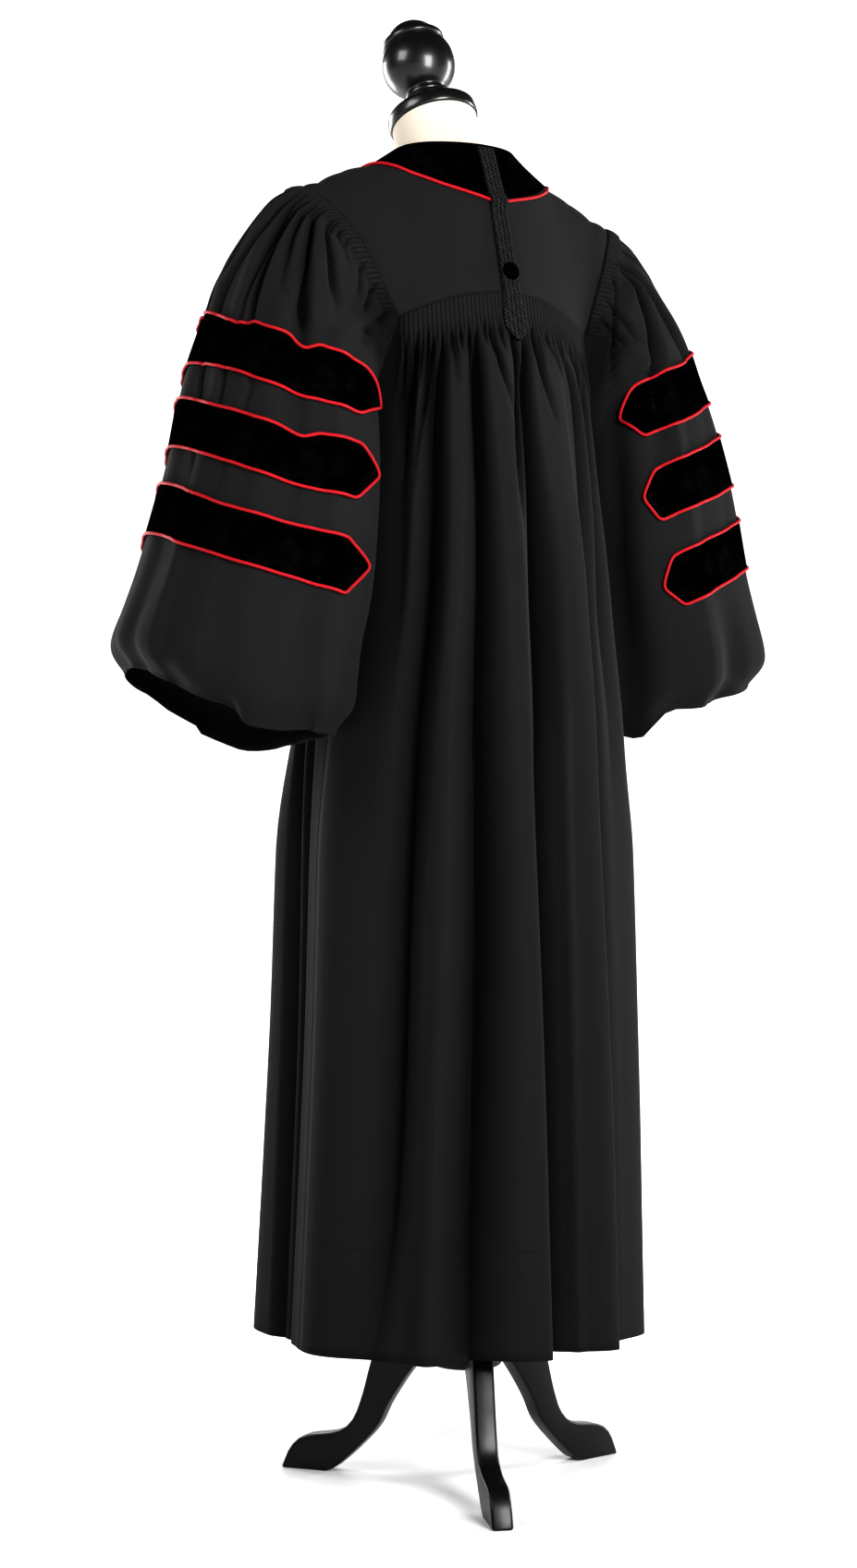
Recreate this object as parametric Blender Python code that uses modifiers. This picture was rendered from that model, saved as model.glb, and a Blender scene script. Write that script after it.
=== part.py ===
"""A clergy robe, hanging as worn on a limbless dress form with a three-legged stand.

Metres, +Z up, floor at z = 0. The robe's front faces -Y and the wearer's left is +X.
Everything is worked out about the stand's axis, and an empty shifts the whole so that
it stands centred on the origin. Angles round the body start at centre back and grow
towards the wearer's left. Turns round a sleeve start at its outer side and grow
towards the back.
"""
import math

import bmesh
import bpy
from mathutils import Matrix, Vector

# Frame and general sizes
OBJECT_NAME = "clergy_robe"
AXIS_Y = 0.0228
SEAM_GAP = 0.0003
SEAM_EASE = 0.0006
CLOTH = 0.0017
VELVET = 0.0016

# Neck opening and collar
NECK_Y = -0.040
NECK_HALF_WIDTH = 0.078
NECK_BACK = 0.072
NECK_FRONT = 0.078
NECK_HEIGHT = 1.5270
NECK_FRONT_DROP = 0.0720
NECK_DROP_POWER = 3.3
COLLAR_HALF_WIDTH = 0.120
COLLAR_BACK = 0.098
COLLAR_FRONT = 0.105
COLLAR_SHARE = 0.30
NECK_SEAM_SHARE = 0.10
COLLAR_LIFT = 0.0006
COLLAR_PIPING_SHARE = 0.322
COLLAR_OPENING = 1.0
COLLAR_HEIGHTS = (  # fan angle, height of the collar's outer edge
    (0.0, 1.4600),
    (30.0, 1.4750),
    (45.0, 1.4856),
    (60.0, 1.4955),
    (75.0, 1.4980),
    (90.0, 1.4910),
    (135.0, 1.4500),
    (180.0, 1.4100),
)

# Yoke: arched seam behind, seam in front of the shoulders, swell between
ARCH_HALF_WIDTH = 0.130
ARCH_HEIGHT = 1.3510
ARCH_BACK = 0.0870
ARCH_FALL = 0.0350
CHEST_HALF_WIDTH = 0.166
CHEST_HEIGHT = 1.3500
CHEST_FRONT = -0.1500
CHEST_RISE = 0.0300
CHEST_WRAP = 0.0680
YOKE_SWELL = (  # fan angle, swell of the surface between collar and edge
    (0.0, 0.000),
    (25.0, 0.006),
    (50.0, 0.012),
    (70.0, 0.008),
    (90.0, 0.002),
    (125.0, 0.006),
    (180.0, 0.006),
)
CORNER_FAN = 50.0
FRONT_SEAM_FAN = 125.0
CORNER_ANGLE = 58.0
SIDE_ANGLE = 90.0
FRONT_SEAM_ANGLE = 118.0

ARMHOLE = (  # turn, x, y, z
    (0.00, 0.212, -0.015, 1.461),
    (0.13, 0.177, 0.030, 1.415),
    (0.25, 0.1358, 0.0500, 1.3295),
    (0.27, 0.130, 0.052, 1.316),
    (0.29, 0.1320, 0.0465, 1.3000),
    (0.39, 0.145, 0.026, 1.240),
    (0.50, 0.150, -0.008, 1.200),
    (0.61, 0.149, -0.044, 1.245),
    (0.73, 0.153, -0.070, 1.330),
    (0.80, 0.166, -0.078, 1.380),
    (0.90, 0.190, -0.058, 1.430),
)
CORNER_TURN = 0.27
UNDERARM_TURN = 0.50
FRONT_SEAM_TURN = 0.80

# Body below the yoke
HEM_HEIGHT = 0.170
TUBE_HEIGHT = 1.120
TUBE_DROP = 0.20
SKIRT = (  # height, half width, back, front, power of the oval
    (0.17, 0.197, 0.160, -0.252, 2.6),
    (0.50, 0.186, 0.158, -0.220, 2.6),
    (0.85, 0.174, 0.148, -0.194, 2.6),
    (1.00, 0.153, 0.134, -0.165, 2.6),
    (1.12, 0.150, 0.122, -0.158, 2.4),
)
SKIRT_FOLDS = (  # angle above, angle at hem, width to the left, width away, rise above, rise at hem
    (10.0, 4.0, 15.0, 5.0, 0.012, 0.024),
    (-21.0, -20.0, 17.0, 5.5, 0.012, 0.026),
    (-49.0, -46.0, 16.0, 8.0, 0.012, 0.016),
    (36.0, 38.0, 12.0, 12.0, 0.010, 0.014),
    (62.0, 74.0, 12.0, 13.0, 0.010, 0.018),
    (103.0, 95.0, 13.0, 9.0, 0.012, 0.022),
    (128.0, 124.0, 12.0, 10.0, 0.012, 0.014),
    (155.0, 152.0, 12.0, 12.0, 0.010, 0.018),
    (-78.0, -75.0, 12.0, 12.0, 0.010, 0.018),
    (-104.0, -101.0, 12.0, 10.0, 0.012, 0.020),
    (-130.0, -127.0, 11.0, 12.0, 0.012, 0.020),
    (-156.0, -153.0, 12.0, 12.0, 0.010, 0.018),
)
FOLD_START = 1.26
FOLD_FULL = 1.00
SIDE_FOLD_START = 0.90
SIDE_FOLD_FULL = 0.72
SIDE_FOLD_FROM = 54.0
SIDE_FOLD_TO = 140.0
SIDE_FOLD_BLEND = 14.0

# Fluting and gathers
BACK_RIBS = 50
BACK_BAND = 0.035
RIB_RISE = 0.0012
SLEEVE_RIB_RISE = 0.0008
BACK_COLUMNS = 56
GATHER_RISE = 0.0028
GATHER_END = 0.19
SLEEVE_RIBS = 44
SLEEVE_BAND = 0.03
SLEEVE_OUTER_COLUMNS = 22
SLEEVE_OUTER_TURN = 0.272
SLEEVE_UNDER_COLUMNS = 8
SLEEVE_UNDER_TURN = 0.385
SLEEVE_RIB_FROM = -0.20
SLEEVE_RIB_TO = 0.27
SLEEVE_GATHER_RISE = 0.0032
SLEEVE_GATHER_END = 0.26

# Sleeve
HEAD_SHARE = 0.30
HEAD_PUFF = 1.45
HEAD_SLOPE_STEP = 0.1
SLEEVE_HEAD = (  # turn, height where the head ends
    (0.00, 1.328),
    (0.10, 1.315),
    (0.15, 1.303),
    (0.20, 1.291),
    (0.30, 1.279),
    (0.35, 1.262),
    (0.42, 1.205),
    (0.50, 1.160),
    (0.58, 1.205),
    (0.66, 1.270),
    (0.75, 1.298),
    (0.90, 1.333),
)
SLEEVE_SECTIONS = (  # height, outer x, inner x, back y, front y, power of the inner half
    (0.82, 0.368, 0.182, 0.096, -0.174, 2.6),
    (0.90, 0.400, 0.176, 0.108, -0.182, 2.6),
    (0.95, 0.405, 0.170, 0.112, -0.180, 2.7),
    (1.00, 0.392, 0.1655, 0.112, -0.172, 3.2),
    (1.05, 0.377, 0.162, 0.108, -0.162, 3.6),
    (1.15, 0.355, 0.157, 0.100, -0.136, 4.0),
    (1.25, 0.332, 0.1545, 0.083, -0.128, 4.0),
    (1.35, 0.292, 0.150, 0.062, -0.120, 4.0),
)
OUTER_POWER = 2.6
SLEEVE_HEM = (  # turn, height of the hem
    (0.00, 0.925),
    (0.06, 0.915),
    (0.12, 0.900),
    (0.17, 0.884),
    (0.23, 0.861),
    (0.30, 0.855),
    (0.38, 0.870),
    (0.50, 0.868),
    (0.58, 0.862),
    (0.655, 0.838),
    (0.72, 0.853),
    (0.79, 0.878),
    (0.87, 0.900),
    (0.94, 0.918),
)
SLEEVE_FOLDS = (  # turn, half width, rise at the head, rise at the hem
    (0.05, 0.035, 0.005, 0.004),
    (0.16, 0.035, 0.006, 0.004),
    (0.27, 0.030, 0.005, 0.006),
    (-0.06, 0.035, 0.005, 0.004),
    (-0.17, 0.035, 0.006, 0.005),
    (-0.28, 0.030, 0.005, 0.006),
)
SLEEVE_PUSH = 0.0014

# Bars on the sleeves
BAR_HALF = 0.068
BARS = (  # share of the drop below the head, turn at the corners, turn at the tip
    (0.105, 0.326, 0.358),
    (0.329, 0.313, 0.341),
    (0.563, 0.297, 0.326),
)
BAR_LIFT = 0.0006
BAR_COLUMN_MARGIN = 0.004
PIPING_REACH = 0.0054
PIPING_CORNER = 0.25
PIPING_TIP = 0.85
PIPING_RADIUS = 0.0018
PIPING_SIDES = 3
COLLAR_PIPING_SIDES = 4

# Braided strap and its button, at centre back
STRAP_THICKNESS = 0.0024
STRAP_BRIDGE = 0.0068
STRAP_OVER_PIPING = 0.0062
STRAP_OVER_COLLAR = 0.0032
STRAP_OVER_YOKE = 0.0020
STRAP = (  # height, half width
    (1.5240, 0.0100),
    (1.4980, 0.0100),
    (1.4700, 0.0100),
    (1.4650, 0.0100),
    (1.4540, 0.0100),
    (1.4480, 0.0100),
    (1.4180, 0.0106),
    (1.3760, 0.0116),
    (1.3560, 0.0120),
    (1.3400, 0.0122),
    (1.3220, 0.0146),
    (1.3100, 0.0125),
    (1.2970, 0.0030),
)
BUTTON_HEIGHT = 1.3760
BUTTON_RADIUS = 0.0104
BUTTON_RISE = 0.0062
BUTTON_STEPS = 16

# Dress form
FORM_GAP = 0.0013
FORM_SKIN = CLOTH + FORM_GAP
FORM_ARM_INSET = 0.0060
FORM_CHEST_GAP = 0.010
NECK_LEAN = math.radians(23.0)
CAP_CENTRE = (0.0, -0.068, 1.577)
CAP_HALF = 0.0095
NECK_TOP_RADIUS = 0.0500
NECK_RINGS = (  # y, z, half width, half depth, lean in degrees
    (-0.0560, 1.5480, 0.0500, 0.0490, 18.0),
    (-0.0460, 1.5240, 0.0520, 0.0490, 12.0),
    (-0.0380, 1.5060, 0.0600, 0.0490, 6.0),
)
FORM_SECTIONS = (  # height, half width, back, front
    (1.240, 0.136, 0.0960, -0.128),
    (1.120, 0.130, 0.0960, -0.128),
    (1.030, 0.126, 0.0940, -0.118),
    (0.930, 0.142, 0.1080, -0.136),
    (0.880, 0.146, 0.1140, -0.142),
    (0.864, 0.140, 0.1090, -0.137),
    (0.860, 0.126, 0.0960, -0.124),
)
FORM_POWER = 2.3
FORM_SHOULDER_SHARES = (0.30, 0.533, 0.767, 0.975)

# Cap and finial, along the neck's leaning axis, (radius, height above the cap's centre)
CAP_PROFILE = (
    (0.0000, 0.0170),
    (0.0280, 0.0170),
    (0.0294, 0.0155),
    (0.0294, 0.0105),
    (0.0470, 0.0095),
    (0.0515, 0.0070),
    (0.0530, 0.0030),
    (0.0528, -0.0050),
    (0.0508, -0.0095),
    (0.0000, -0.0095),
)
BALL_CENTRE = 0.0720
BALL_RADIUS = 0.0434
RING_RADIUS = 0.0355
RING_HEIGHT = 0.0277
DOME_RADIUS = 0.0315
FINIAL_TOP = 0.0560
FINIAL_NECK = 0.0235
FINIAL_STEPS = 22

# Column, hub and legs
COLUMN_RADIUS = 0.0125
HUB_RADIUS = 0.0415
HUB_BOTTOM = 0.1340
HUB_TOP = 0.2350
HUB_STEPS = 20
LEG_COUNT = 3
FIRST_LEG_ANGLE = math.radians(64.5)
LEG_THICKNESS = 0.024
LEG_ROUND = 0.003
LEG_UPPER_EDGE = (  # distance from the axis, height
    (0.0418, 0.2150),
    (0.0780, 0.2000),
    (0.1040, 0.1640),
    (0.1160, 0.1260),
    (0.1260, 0.0900),
    (0.1380, 0.0620),
    (0.1580, 0.0470),
    (0.1980, 0.0390),
    (0.2150, 0.0260),
    (0.2270, 0.0000),
)
LEG_UNDER_EDGE = (
    (0.1710, 0.0000),
    (0.1580, 0.0060),
    (0.1310, 0.0300),
    (0.1070, 0.0560),
    (0.0920, 0.0850),
    (0.0670, 0.1220),
    (0.0418, 0.1520),
)

# Colours, linear, with roughness and metallic
FINISHES = {
    "robe_cloth": ((0.020, 0.020, 0.022), 0.85, 0.0),
    "velvet": ((0.002, 0.002, 0.003), 0.95, 0.0),
    "piping": ((0.700, 0.020, 0.030), 0.45, 0.0),
    "braid": ((0.012, 0.012, 0.014), 0.75, 0.0),
    "form_cover": ((0.900, 0.800, 0.680), 0.80, 0.0),
    "black_lacquer": ((0.006, 0.006, 0.007), 0.20, 0.0),
    "black_stand": ((0.010, 0.010, 0.011), 0.38, 0.0),
}


def lerp(a, b, share):
    """The value or point at a share of the way from a to b."""
    return a + (b - a) * share


def clamp(value):
    """The value kept between 0 and 1."""
    return max(0.0, min(1.0, value))


def smooth(start, end, value):
    """0 at start, 1 at end, with a soft start and finish."""
    share = clamp((value - start) / (end - start))
    return share * share * (3.0 - 2.0 * share)


def slopes_at(rows, index, column):
    """Slope of one column at a row, from its neighbours."""
    before = rows[max(index - 1, 0)]
    after = rows[min(index + 1, len(rows) - 1)]
    return (after[column] - before[column]) / (after[0] - before[0])


def along(rows, key):
    """The other columns at a key in the first column, on a smooth curve through the rows."""
    key = max(rows[0][0], min(rows[-1][0], key))
    index = 0
    while index < len(rows) - 2 and key > rows[index + 1][0]:
        index += 1
    low, high = rows[index], rows[index + 1]
    span = high[0] - low[0]
    t = (key - low[0]) / span
    values = []
    for column in range(1, len(low)):
        m0 = slopes_at(rows, index, column) * span
        m1 = slopes_at(rows, index + 1, column) * span
        a = 2 * t ** 3 - 3 * t ** 2 + 1
        b = t ** 3 - 2 * t ** 2 + t
        c = -2 * t ** 3 + 3 * t ** 2
        d = t ** 3 - t ** 2
        values.append(a * low[column] + b * m0 + c * high[column] + d * m1)
    return values


def around(rows, turn):
    """As along, for rows that close on themselves after one turn."""
    last_two = [(row[0] - 1.0, *row[1:]) for row in rows[-2:]]
    first_three = [(row[0] + 1.0, *row[1:]) for row in rows[:3]]
    return along(last_two + list(rows) + first_three, turn % 1.0)


def straight_along(rows, key):
    """The second column at a key in the first, on straight runs between the rows."""
    for low, high in zip(rows, rows[1:]):
        if key <= high[0]:
            return lerp(low[1], high[1], clamp((key - low[0]) / (high[0] - low[0])))
    return rows[-1][1]


def oval_radius(angle, half_side, half_depth, power):
    """Distance from its centre to a squarish oval, at an angle from its depth axis."""
    side = abs(math.sin(angle) / half_side) ** power
    depth = abs(math.cos(angle) / half_depth) ** power
    return (side + depth) ** (-1.0 / power)


def mirrored_x(angle, point):
    """The point on the side of the body that the angle's sign asks for."""
    return Vector((math.copysign(point.x, angle), point.y, point.z)) if angle else point


def armhole_point(turn):
    """A point of the left armhole seam."""
    return Vector(around(ARMHOLE, turn))


def arch_point(share):
    """A point of the arched back seam, share 0 at centre back and 1 at the corner."""
    fall = ARCH_FALL * share ** 2
    return Vector((ARCH_HALF_WIDTH * share, ARCH_BACK - fall, ARCH_HEIGHT - fall))


def chest_point(share):
    """A point of the line across the front, share 0 at centre front."""
    y = CHEST_FRONT + CHEST_WRAP * share ** 2
    return Vector((CHEST_HALF_WIDTH * share, y, CHEST_HEIGHT + CHEST_RISE * share ** 2))


def neck_point(fan):
    """A point of the collar's top edge."""
    angle = math.radians(fan)
    depth = NECK_BACK if abs(fan) < 90.0 else NECK_FRONT
    drop = NECK_FRONT_DROP * ((1.0 - math.cos(angle)) / 2.0) ** NECK_DROP_POWER
    x = NECK_HALF_WIDTH * math.sin(angle)
    return Vector((x, NECK_Y + depth * math.cos(angle), NECK_HEIGHT - drop))


def collar_point(fan):
    """A point of the collar's outer edge."""
    angle = math.radians(fan)
    depth = COLLAR_BACK if abs(fan) < 90.0 else COLLAR_FRONT
    height = along(COLLAR_HEIGHTS, abs(fan))[0]
    return Vector((COLLAR_HALF_WIDTH * math.sin(angle), NECK_Y + depth * math.cos(angle), height))


def shoulder_edge_point(fan):
    """A point where the shoulder surface ends: arch, armhole or chest line."""
    size = abs(fan)
    if size <= CORNER_FAN:
        point = arch_point(size / CORNER_FAN)
    elif size <= 90.0:
        point = armhole_point(lerp(CORNER_TURN, 0.0, (size - CORNER_FAN) / (90.0 - CORNER_FAN)))
    elif size <= FRONT_SEAM_FAN:
        share = (size - 90.0) / (FRONT_SEAM_FAN - 90.0)
        point = armhole_point(lerp(1.0, FRONT_SEAM_TURN, share))
    else:
        point = chest_point((180.0 - size) / (180.0 - FRONT_SEAM_FAN))
    return mirrored_x(fan, point)


def shoulder_point(fan, share):
    """The outer face over neck and shoulders, share 0 at the neck and 1 at the edge."""
    collar = collar_point(fan)
    if share <= COLLAR_SHARE:
        return lerp(neck_point(fan), collar, share / COLLAR_SHARE)
    part = (share - COLLAR_SHARE) / (1.0 - COLLAR_SHARE)
    point = lerp(collar, shoulder_edge_point(fan), part)
    swell = along(YOKE_SWELL, abs(fan))[0] * 4.0 * part * (1.0 - part)
    outward = Vector((point.x, point.y - NECK_Y, 0.0)).normalized() + Vector((0.0, 0.0, 1.0))
    return point + outward.normalized() * swell


def body_top_point(angle):
    """A point of the line where the hanging cloth begins, at an angle round the body."""
    size = abs(angle)
    if size <= CORNER_ANGLE:
        point = arch_point(size / CORNER_ANGLE)
    elif size <= SIDE_ANGLE:
        share = (size - CORNER_ANGLE) / (SIDE_ANGLE - CORNER_ANGLE)
        point = armhole_point(lerp(CORNER_TURN, UNDERARM_TURN, share))
    elif size <= FRONT_SEAM_ANGLE:
        share = (size - SIDE_ANGLE) / (FRONT_SEAM_ANGLE - SIDE_ANGLE)
        point = armhole_point(lerp(UNDERARM_TURN, FRONT_SEAM_TURN, share))
    else:
        point = chest_point((180.0 - size) / (180.0 - FRONT_SEAM_ANGLE))
    return mirrored_x(angle, point)


def fold_shift(angle, height):
    """How far the cloth at an angle has wandered round the body, with the nearest folds."""
    share = clamp((FOLD_FULL - height) / (FOLD_FULL - HEM_HEIGHT))
    drifts = sorted((above, hem - above) for above, hem, *_ in SKIRT_FOLDS)
    first, last = drifts[0], drifts[-1]
    drifts = [(last[0] - 360.0, last[1])] + drifts + [(first[0] + 360.0, first[1])]
    return straight_along(drifts, angle) * share


def fold_rise(angle, height):
    """How far the large folds lift the cloth outwards."""
    share = clamp((FOLD_FULL - height) / (FOLD_FULL - HEM_HEIGHT))
    total = 0.0
    for above, _, left_width, away_width, rise_above, rise_hem in SKIRT_FOLDS:
        away = (angle - above + 180.0) % 360.0 - 180.0
        width = left_width if away > 0.0 else away_width
        if abs(away) < width:
            total += lerp(rise_above, rise_hem, share) * math.cos(away / width * math.pi / 2.0) ** 2
    start = smooth(FOLD_START, FOLD_FULL, height)
    side = smooth(SIDE_FOLD_FROM - SIDE_FOLD_BLEND, SIDE_FOLD_FROM, abs(angle))
    side *= 1.0 - smooth(SIDE_FOLD_TO, SIDE_FOLD_TO + SIDE_FOLD_BLEND, abs(angle))
    side_start = smooth(SIDE_FOLD_START, SIDE_FOLD_FULL, height)
    return total * lerp(start, side_start, side)


def skirt_point(angle, height):
    """The outer face of the hanging cloth at an angle and height, with its large folds."""
    half_width, back, front, power = along(SKIRT, height)
    turned = math.radians(angle + fold_shift(angle, height))
    radius = oval_radius(turned, half_width, (back - front) / 2.0, power)
    radius += fold_rise(angle, height)
    return Vector((radius * math.sin(turned), (back + front) / 2.0 + radius * math.cos(turned), height))


def fold_angles(angles):
    """Column angles, the nearest ones moved onto the folds' crests and feet, and the corners."""
    moved = list(angles)
    targets = [target for above, _, _, away_width, *_ in SKIRT_FOLDS for target in (above, above - away_width)]
    for target in targets + [-CORNER_ANGLE, CORNER_ANGLE]:
        nearest = min(range(1, len(moved) - 1), key=lambda index: abs(moved[index] - target))
        if abs(moved[nearest] - target) < (moved[-1] - moved[0]) / len(moved):
            moved[nearest] = target
    return moved


def body_point(angle, drop):
    """The outer face of back and fronts, drop 0 at the top and 1 at the hem."""
    if drop >= TUBE_DROP:
        share = (drop - TUBE_DROP) / (1.0 - TUBE_DROP)
        return skirt_point(angle, lerp(TUBE_HEIGHT, HEM_HEIGHT, share))
    share = drop / TUBE_DROP
    return lerp(body_top_point(angle), skirt_point(angle, TUBE_HEIGHT), share)


def sleeve_section_point(turn, height):
    """The left sleeve's outer face at a turn and height, without folds."""
    outer, inner, back, front, inner_power = along(SLEEVE_SECTIONS, height)
    angle = turn * 2.0 * math.pi
    power = OUTER_POWER if math.cos(angle) > 0.0 else inner_power
    radius = oval_radius(angle + math.pi / 2.0, (outer - inner) / 2.0, (back - front) / 2.0, power)
    centre_x = (outer + inner) / 2.0
    centre_y = (back + front) / 2.0
    return Vector((centre_x + radius * math.cos(angle), centre_y + radius * math.sin(angle), height))


def sleeve_fold_rise(turn, share):
    """How far the sleeve's folds lift it, share 0 at the head and 1 at the hem."""
    total = 0.0
    for centre, half_width, rise_head, rise_hem in SLEEVE_FOLDS:
        away = (turn - centre + 0.5) % 1.0 - 0.5
        if abs(away) < half_width:
            total += lerp(rise_head, rise_hem, share) * math.cos(away / half_width * math.pi / 2.0) ** 2
    return total


def sleeve_point(turn, drop):
    """The left sleeve's outer face, drop 0 at the armhole and 1 at the hem."""
    high = around(SLEEVE_HEAD, turn)[0]
    if drop >= HEAD_SHARE:
        share = (drop - HEAD_SHARE) / (1.0 - HEAD_SHARE)
        return hanging_sleeve_point(turn, lerp(high, around(SLEEVE_HEM, turn)[0], share), share)
    start = armhole_point(turn)
    end = hanging_sleeve_point(turn, high, 0.0)
    level = Vector((end.x - start.x, end.y - start.y, 0.0))
    start = start + level.normalized() * SLEEVE_PUSH
    straight = end - start
    below = hanging_sleeve_point(turn, high + straight.z * HEAD_SLOPE_STEP, 0.0)
    outer = (1.0 + math.cos(turn * 2.0 * math.pi)) / 2.0
    leave = lerp(straight, level * HEAD_PUFF, outer ** 0.5)
    arrive = lerp(straight, (below - end) / HEAD_SLOPE_STEP, outer ** 0.5)
    t = drop / HEAD_SHARE
    return (
        start * (2 * t ** 3 - 3 * t ** 2 + 1)
        + leave * (t ** 3 - 2 * t ** 2 + t)
        + end * (-2 * t ** 3 + 3 * t ** 2)
        + arrive * (t ** 3 - t ** 2)
    )


def hanging_sleeve_point(turn, height, share):
    """The sleeve below its head, with its folds, share 0 at the head and 1 at the hem."""
    angle = turn * 2.0 * math.pi
    outward = Vector((math.cos(angle), math.sin(angle), 0.0))
    return sleeve_section_point(turn, height) + outward * sleeve_fold_rise(turn, share)


def sleeve_drop(share):
    """The drop for a share of the hanging part."""
    return lerp(HEAD_SHARE, 1.0, share)


def normal_of(surface, s, t, s_step, t_step, t_low=0.0, t_high=1.0):
    """Unit normal of a surface, positive where s runs left and t runs down on a back."""
    across = surface(s + s_step, t) - surface(s - s_step, t)
    t0, t1 = max(t_low, t - t_step), min(t_high, t + t_step)
    down = surface(s, t1) - surface(s, t0)
    return across.cross(down).normalized()


def middle_of(row, index):
    """Position half way from one entry of a row to the next, past everything at its end."""
    if index == len(row) - 1:
        return math.inf
    return (row[index][0] + row[index + 1][0]) / 2.0


def split_quad(first, second, third, fourth, mirrored):
    """Two triangles of a quad, cut the other way on the mirrored half."""
    if mirrored:
        return [(first, second, fourth), (second, third, fourth)]
    return [(first, second, third), (first, third, fourth)]


def bridge(faces, upper, lower, closed=False):
    """Faces between two rows of (position, index), whose counts may differ."""
    if closed:
        upper = upper + [(upper[0][0] + 1.0, upper[0][1])]
        lower = lower + [(lower[0][0] + 1.0, lower[0][1])]
    i = j = 0
    while i < len(upper) - 1 or j < len(lower) - 1:
        above, below = middle_of(upper, i), middle_of(lower, j)
        if math.isclose(above, below, abs_tol=1e-9):
            corners = upper[i][1], upper[i + 1][1], lower[j + 1][1], lower[j][1]
            faces += split_quad(*corners, above < 0.0)
            i += 1
            j += 1
        elif above < below:
            faces.append((upper[i][1], upper[i + 1][1], lower[j][1]))
            i += 1
        else:
            faces.append((upper[i][1], lower[j + 1][1], lower[j][1]))
            j += 1


def steps(start, end, count):
    """Evenly spaced values from start to end, count spaces apart."""
    return [lerp(start, end, index / count) for index in range(count + 1)]


class Wall:
    """A cloth wall between an outer and an inner face, each with its own rows of points."""

    def __init__(self, outer, inner, closed=False, flipped=False):
        self.points = []
        self.faces = []
        self.closed = closed
        self.flipped = flipped
        outer_rows = [self.add_row(row) for row in outer]
        inner_rows = [self.add_row(row) for row in inner]
        for upper, lower in zip(outer_rows, outer_rows[1:]):
            bridge(self.faces, upper, lower, closed)
        for upper, lower in zip(inner_rows, inner_rows[1:]):
            backs = []
            bridge(backs, upper, lower, closed)
            self.faces += [tuple(reversed(face)) for face in backs]
        bridge(self.faces, inner_rows[0], outer_rows[0], closed)
        bridge(self.faces, outer_rows[-1], inner_rows[-1], closed)
        if not closed:
            self.close_side(outer, outer_rows, inner, inner_rows, 0)
            self.close_side(inner, inner_rows, outer, outer_rows, -1)

    def add_row(self, row):
        """Adds one row, a pair of its drop and its (position, point) list."""
        indices = []
        for position, point in row[1]:
            indices.append((position, len(self.points)))
            self.points.append(point)
        return indices

    def close_side(self, first, first_rows, second, second_rows, end):
        """Closes the wall along its first or last column."""
        upper = [(row[0], rows[end][1]) for row, rows in zip(first, first_rows)]
        lower = [(row[0], rows[end][1]) for row, rows in zip(second, second_rows)]
        bridge(self.faces, upper, lower)

    def mesh(self, name):
        """The wall as a mesh."""
        faces = self.faces
        if self.flipped:
            faces = [tuple(reversed(face)) for face in faces]
        mesh = bpy.data.meshes.new(name)
        mesh.from_pydata([tuple(point) for point in self.points], [], faces)
        return mesh


def grid_rows(surface, normal, drops, offset):
    """Rows of points for a wall: drops is a list of (drop, positions), offset a function."""
    rows = []
    for drop, positions in drops:
        points = []
        for position in positions:
            shift = offset(position, drop)
            point = surface(position, drop)
            if shift:
                point = point + normal(position, drop) * shift
            points.append((position, point))
        rows.append((drop, points))
    return rows


def make_material(name):
    """A finish's material, made once."""
    found = bpy.data.materials.get(name)
    if found:
        return found
    colour, roughness, metallic = FINISHES[name]
    material = bpy.data.materials.new(name)
    material.use_nodes = True
    shader = material.node_tree.nodes["Principled BSDF"]
    shader.inputs["Base Color"].default_value = (*colour, 1.0)
    shader.inputs["Roughness"].default_value = roughness
    shader.inputs["Metallic"].default_value = metallic
    return material


class Studio:
    """The collection and the empty that hold every piece."""

    def __init__(self):
        for old in list(bpy.data.objects):
            bpy.data.objects.remove(old, do_unlink=True)
        self.collection = bpy.data.collections.new(OBJECT_NAME)
        bpy.context.scene.collection.children.link(self.collection)
        self.axis = bpy.data.objects.new("stand_axis", None)
        self.axis.location = (0.0, AXIS_Y, 0.0)
        self.collection.objects.link(self.axis)

    def place(self, name, mesh, finish, location=(0.0, 0.0, 0.0), rotation=(0.0, 0.0, 0.0)):
        """Adds a piece on the stand's axis, with its finish."""
        piece = bpy.data.objects.new(name, mesh)
        piece.parent = self.axis
        piece.location = location
        piece.rotation_euler = rotation
        piece.data.materials.append(make_material(finish))
        self.collection.objects.link(piece)
        return piece

    def place_pair(self, name, mesh, finish):
        """Adds a left piece and its mirror image on the right."""
        first, _, rest = name.partition("_LR")
        other = mesh.copy()
        other.transform(Matrix.Scale(-1.0, 4, (1.0, 0.0, 0.0)))
        other.flip_normals()
        self.place(f"{first}_left{rest}", mesh, finish)
        self.place(f"{first}_right{rest}", other, finish)


def soften(mesh, degrees=40.0):
    """Shades a mesh smooth apart from its sharp edges."""
    mesh.shade_smooth()
    mesh.set_sharp_from_angle(angle=math.radians(degrees))


def shoulder_normal(fan, share):
    """Outward normal over neck and shoulders."""
    return normal_of(shoulder_point, fan, share, 1.0, 0.02)


def body_normal(angle, drop):
    """Outward normal of the hanging cloth."""
    return normal_of(body_point, angle, drop, 0.4, 0.004)


def sleeve_normal(turn, drop):
    """Outward normal of the left sleeve."""
    return normal_of(sleeve_point, turn, drop, 0.004, 0.01) * -1.0


def edge_share(fan):
    """Share at which the yoke ends, a seam's gap short of its edge."""
    length = (shoulder_edge_point(fan) - collar_point(fan)).length
    return 1.0 - (1.0 - COLLAR_SHARE) * SEAM_EASE / length


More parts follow.
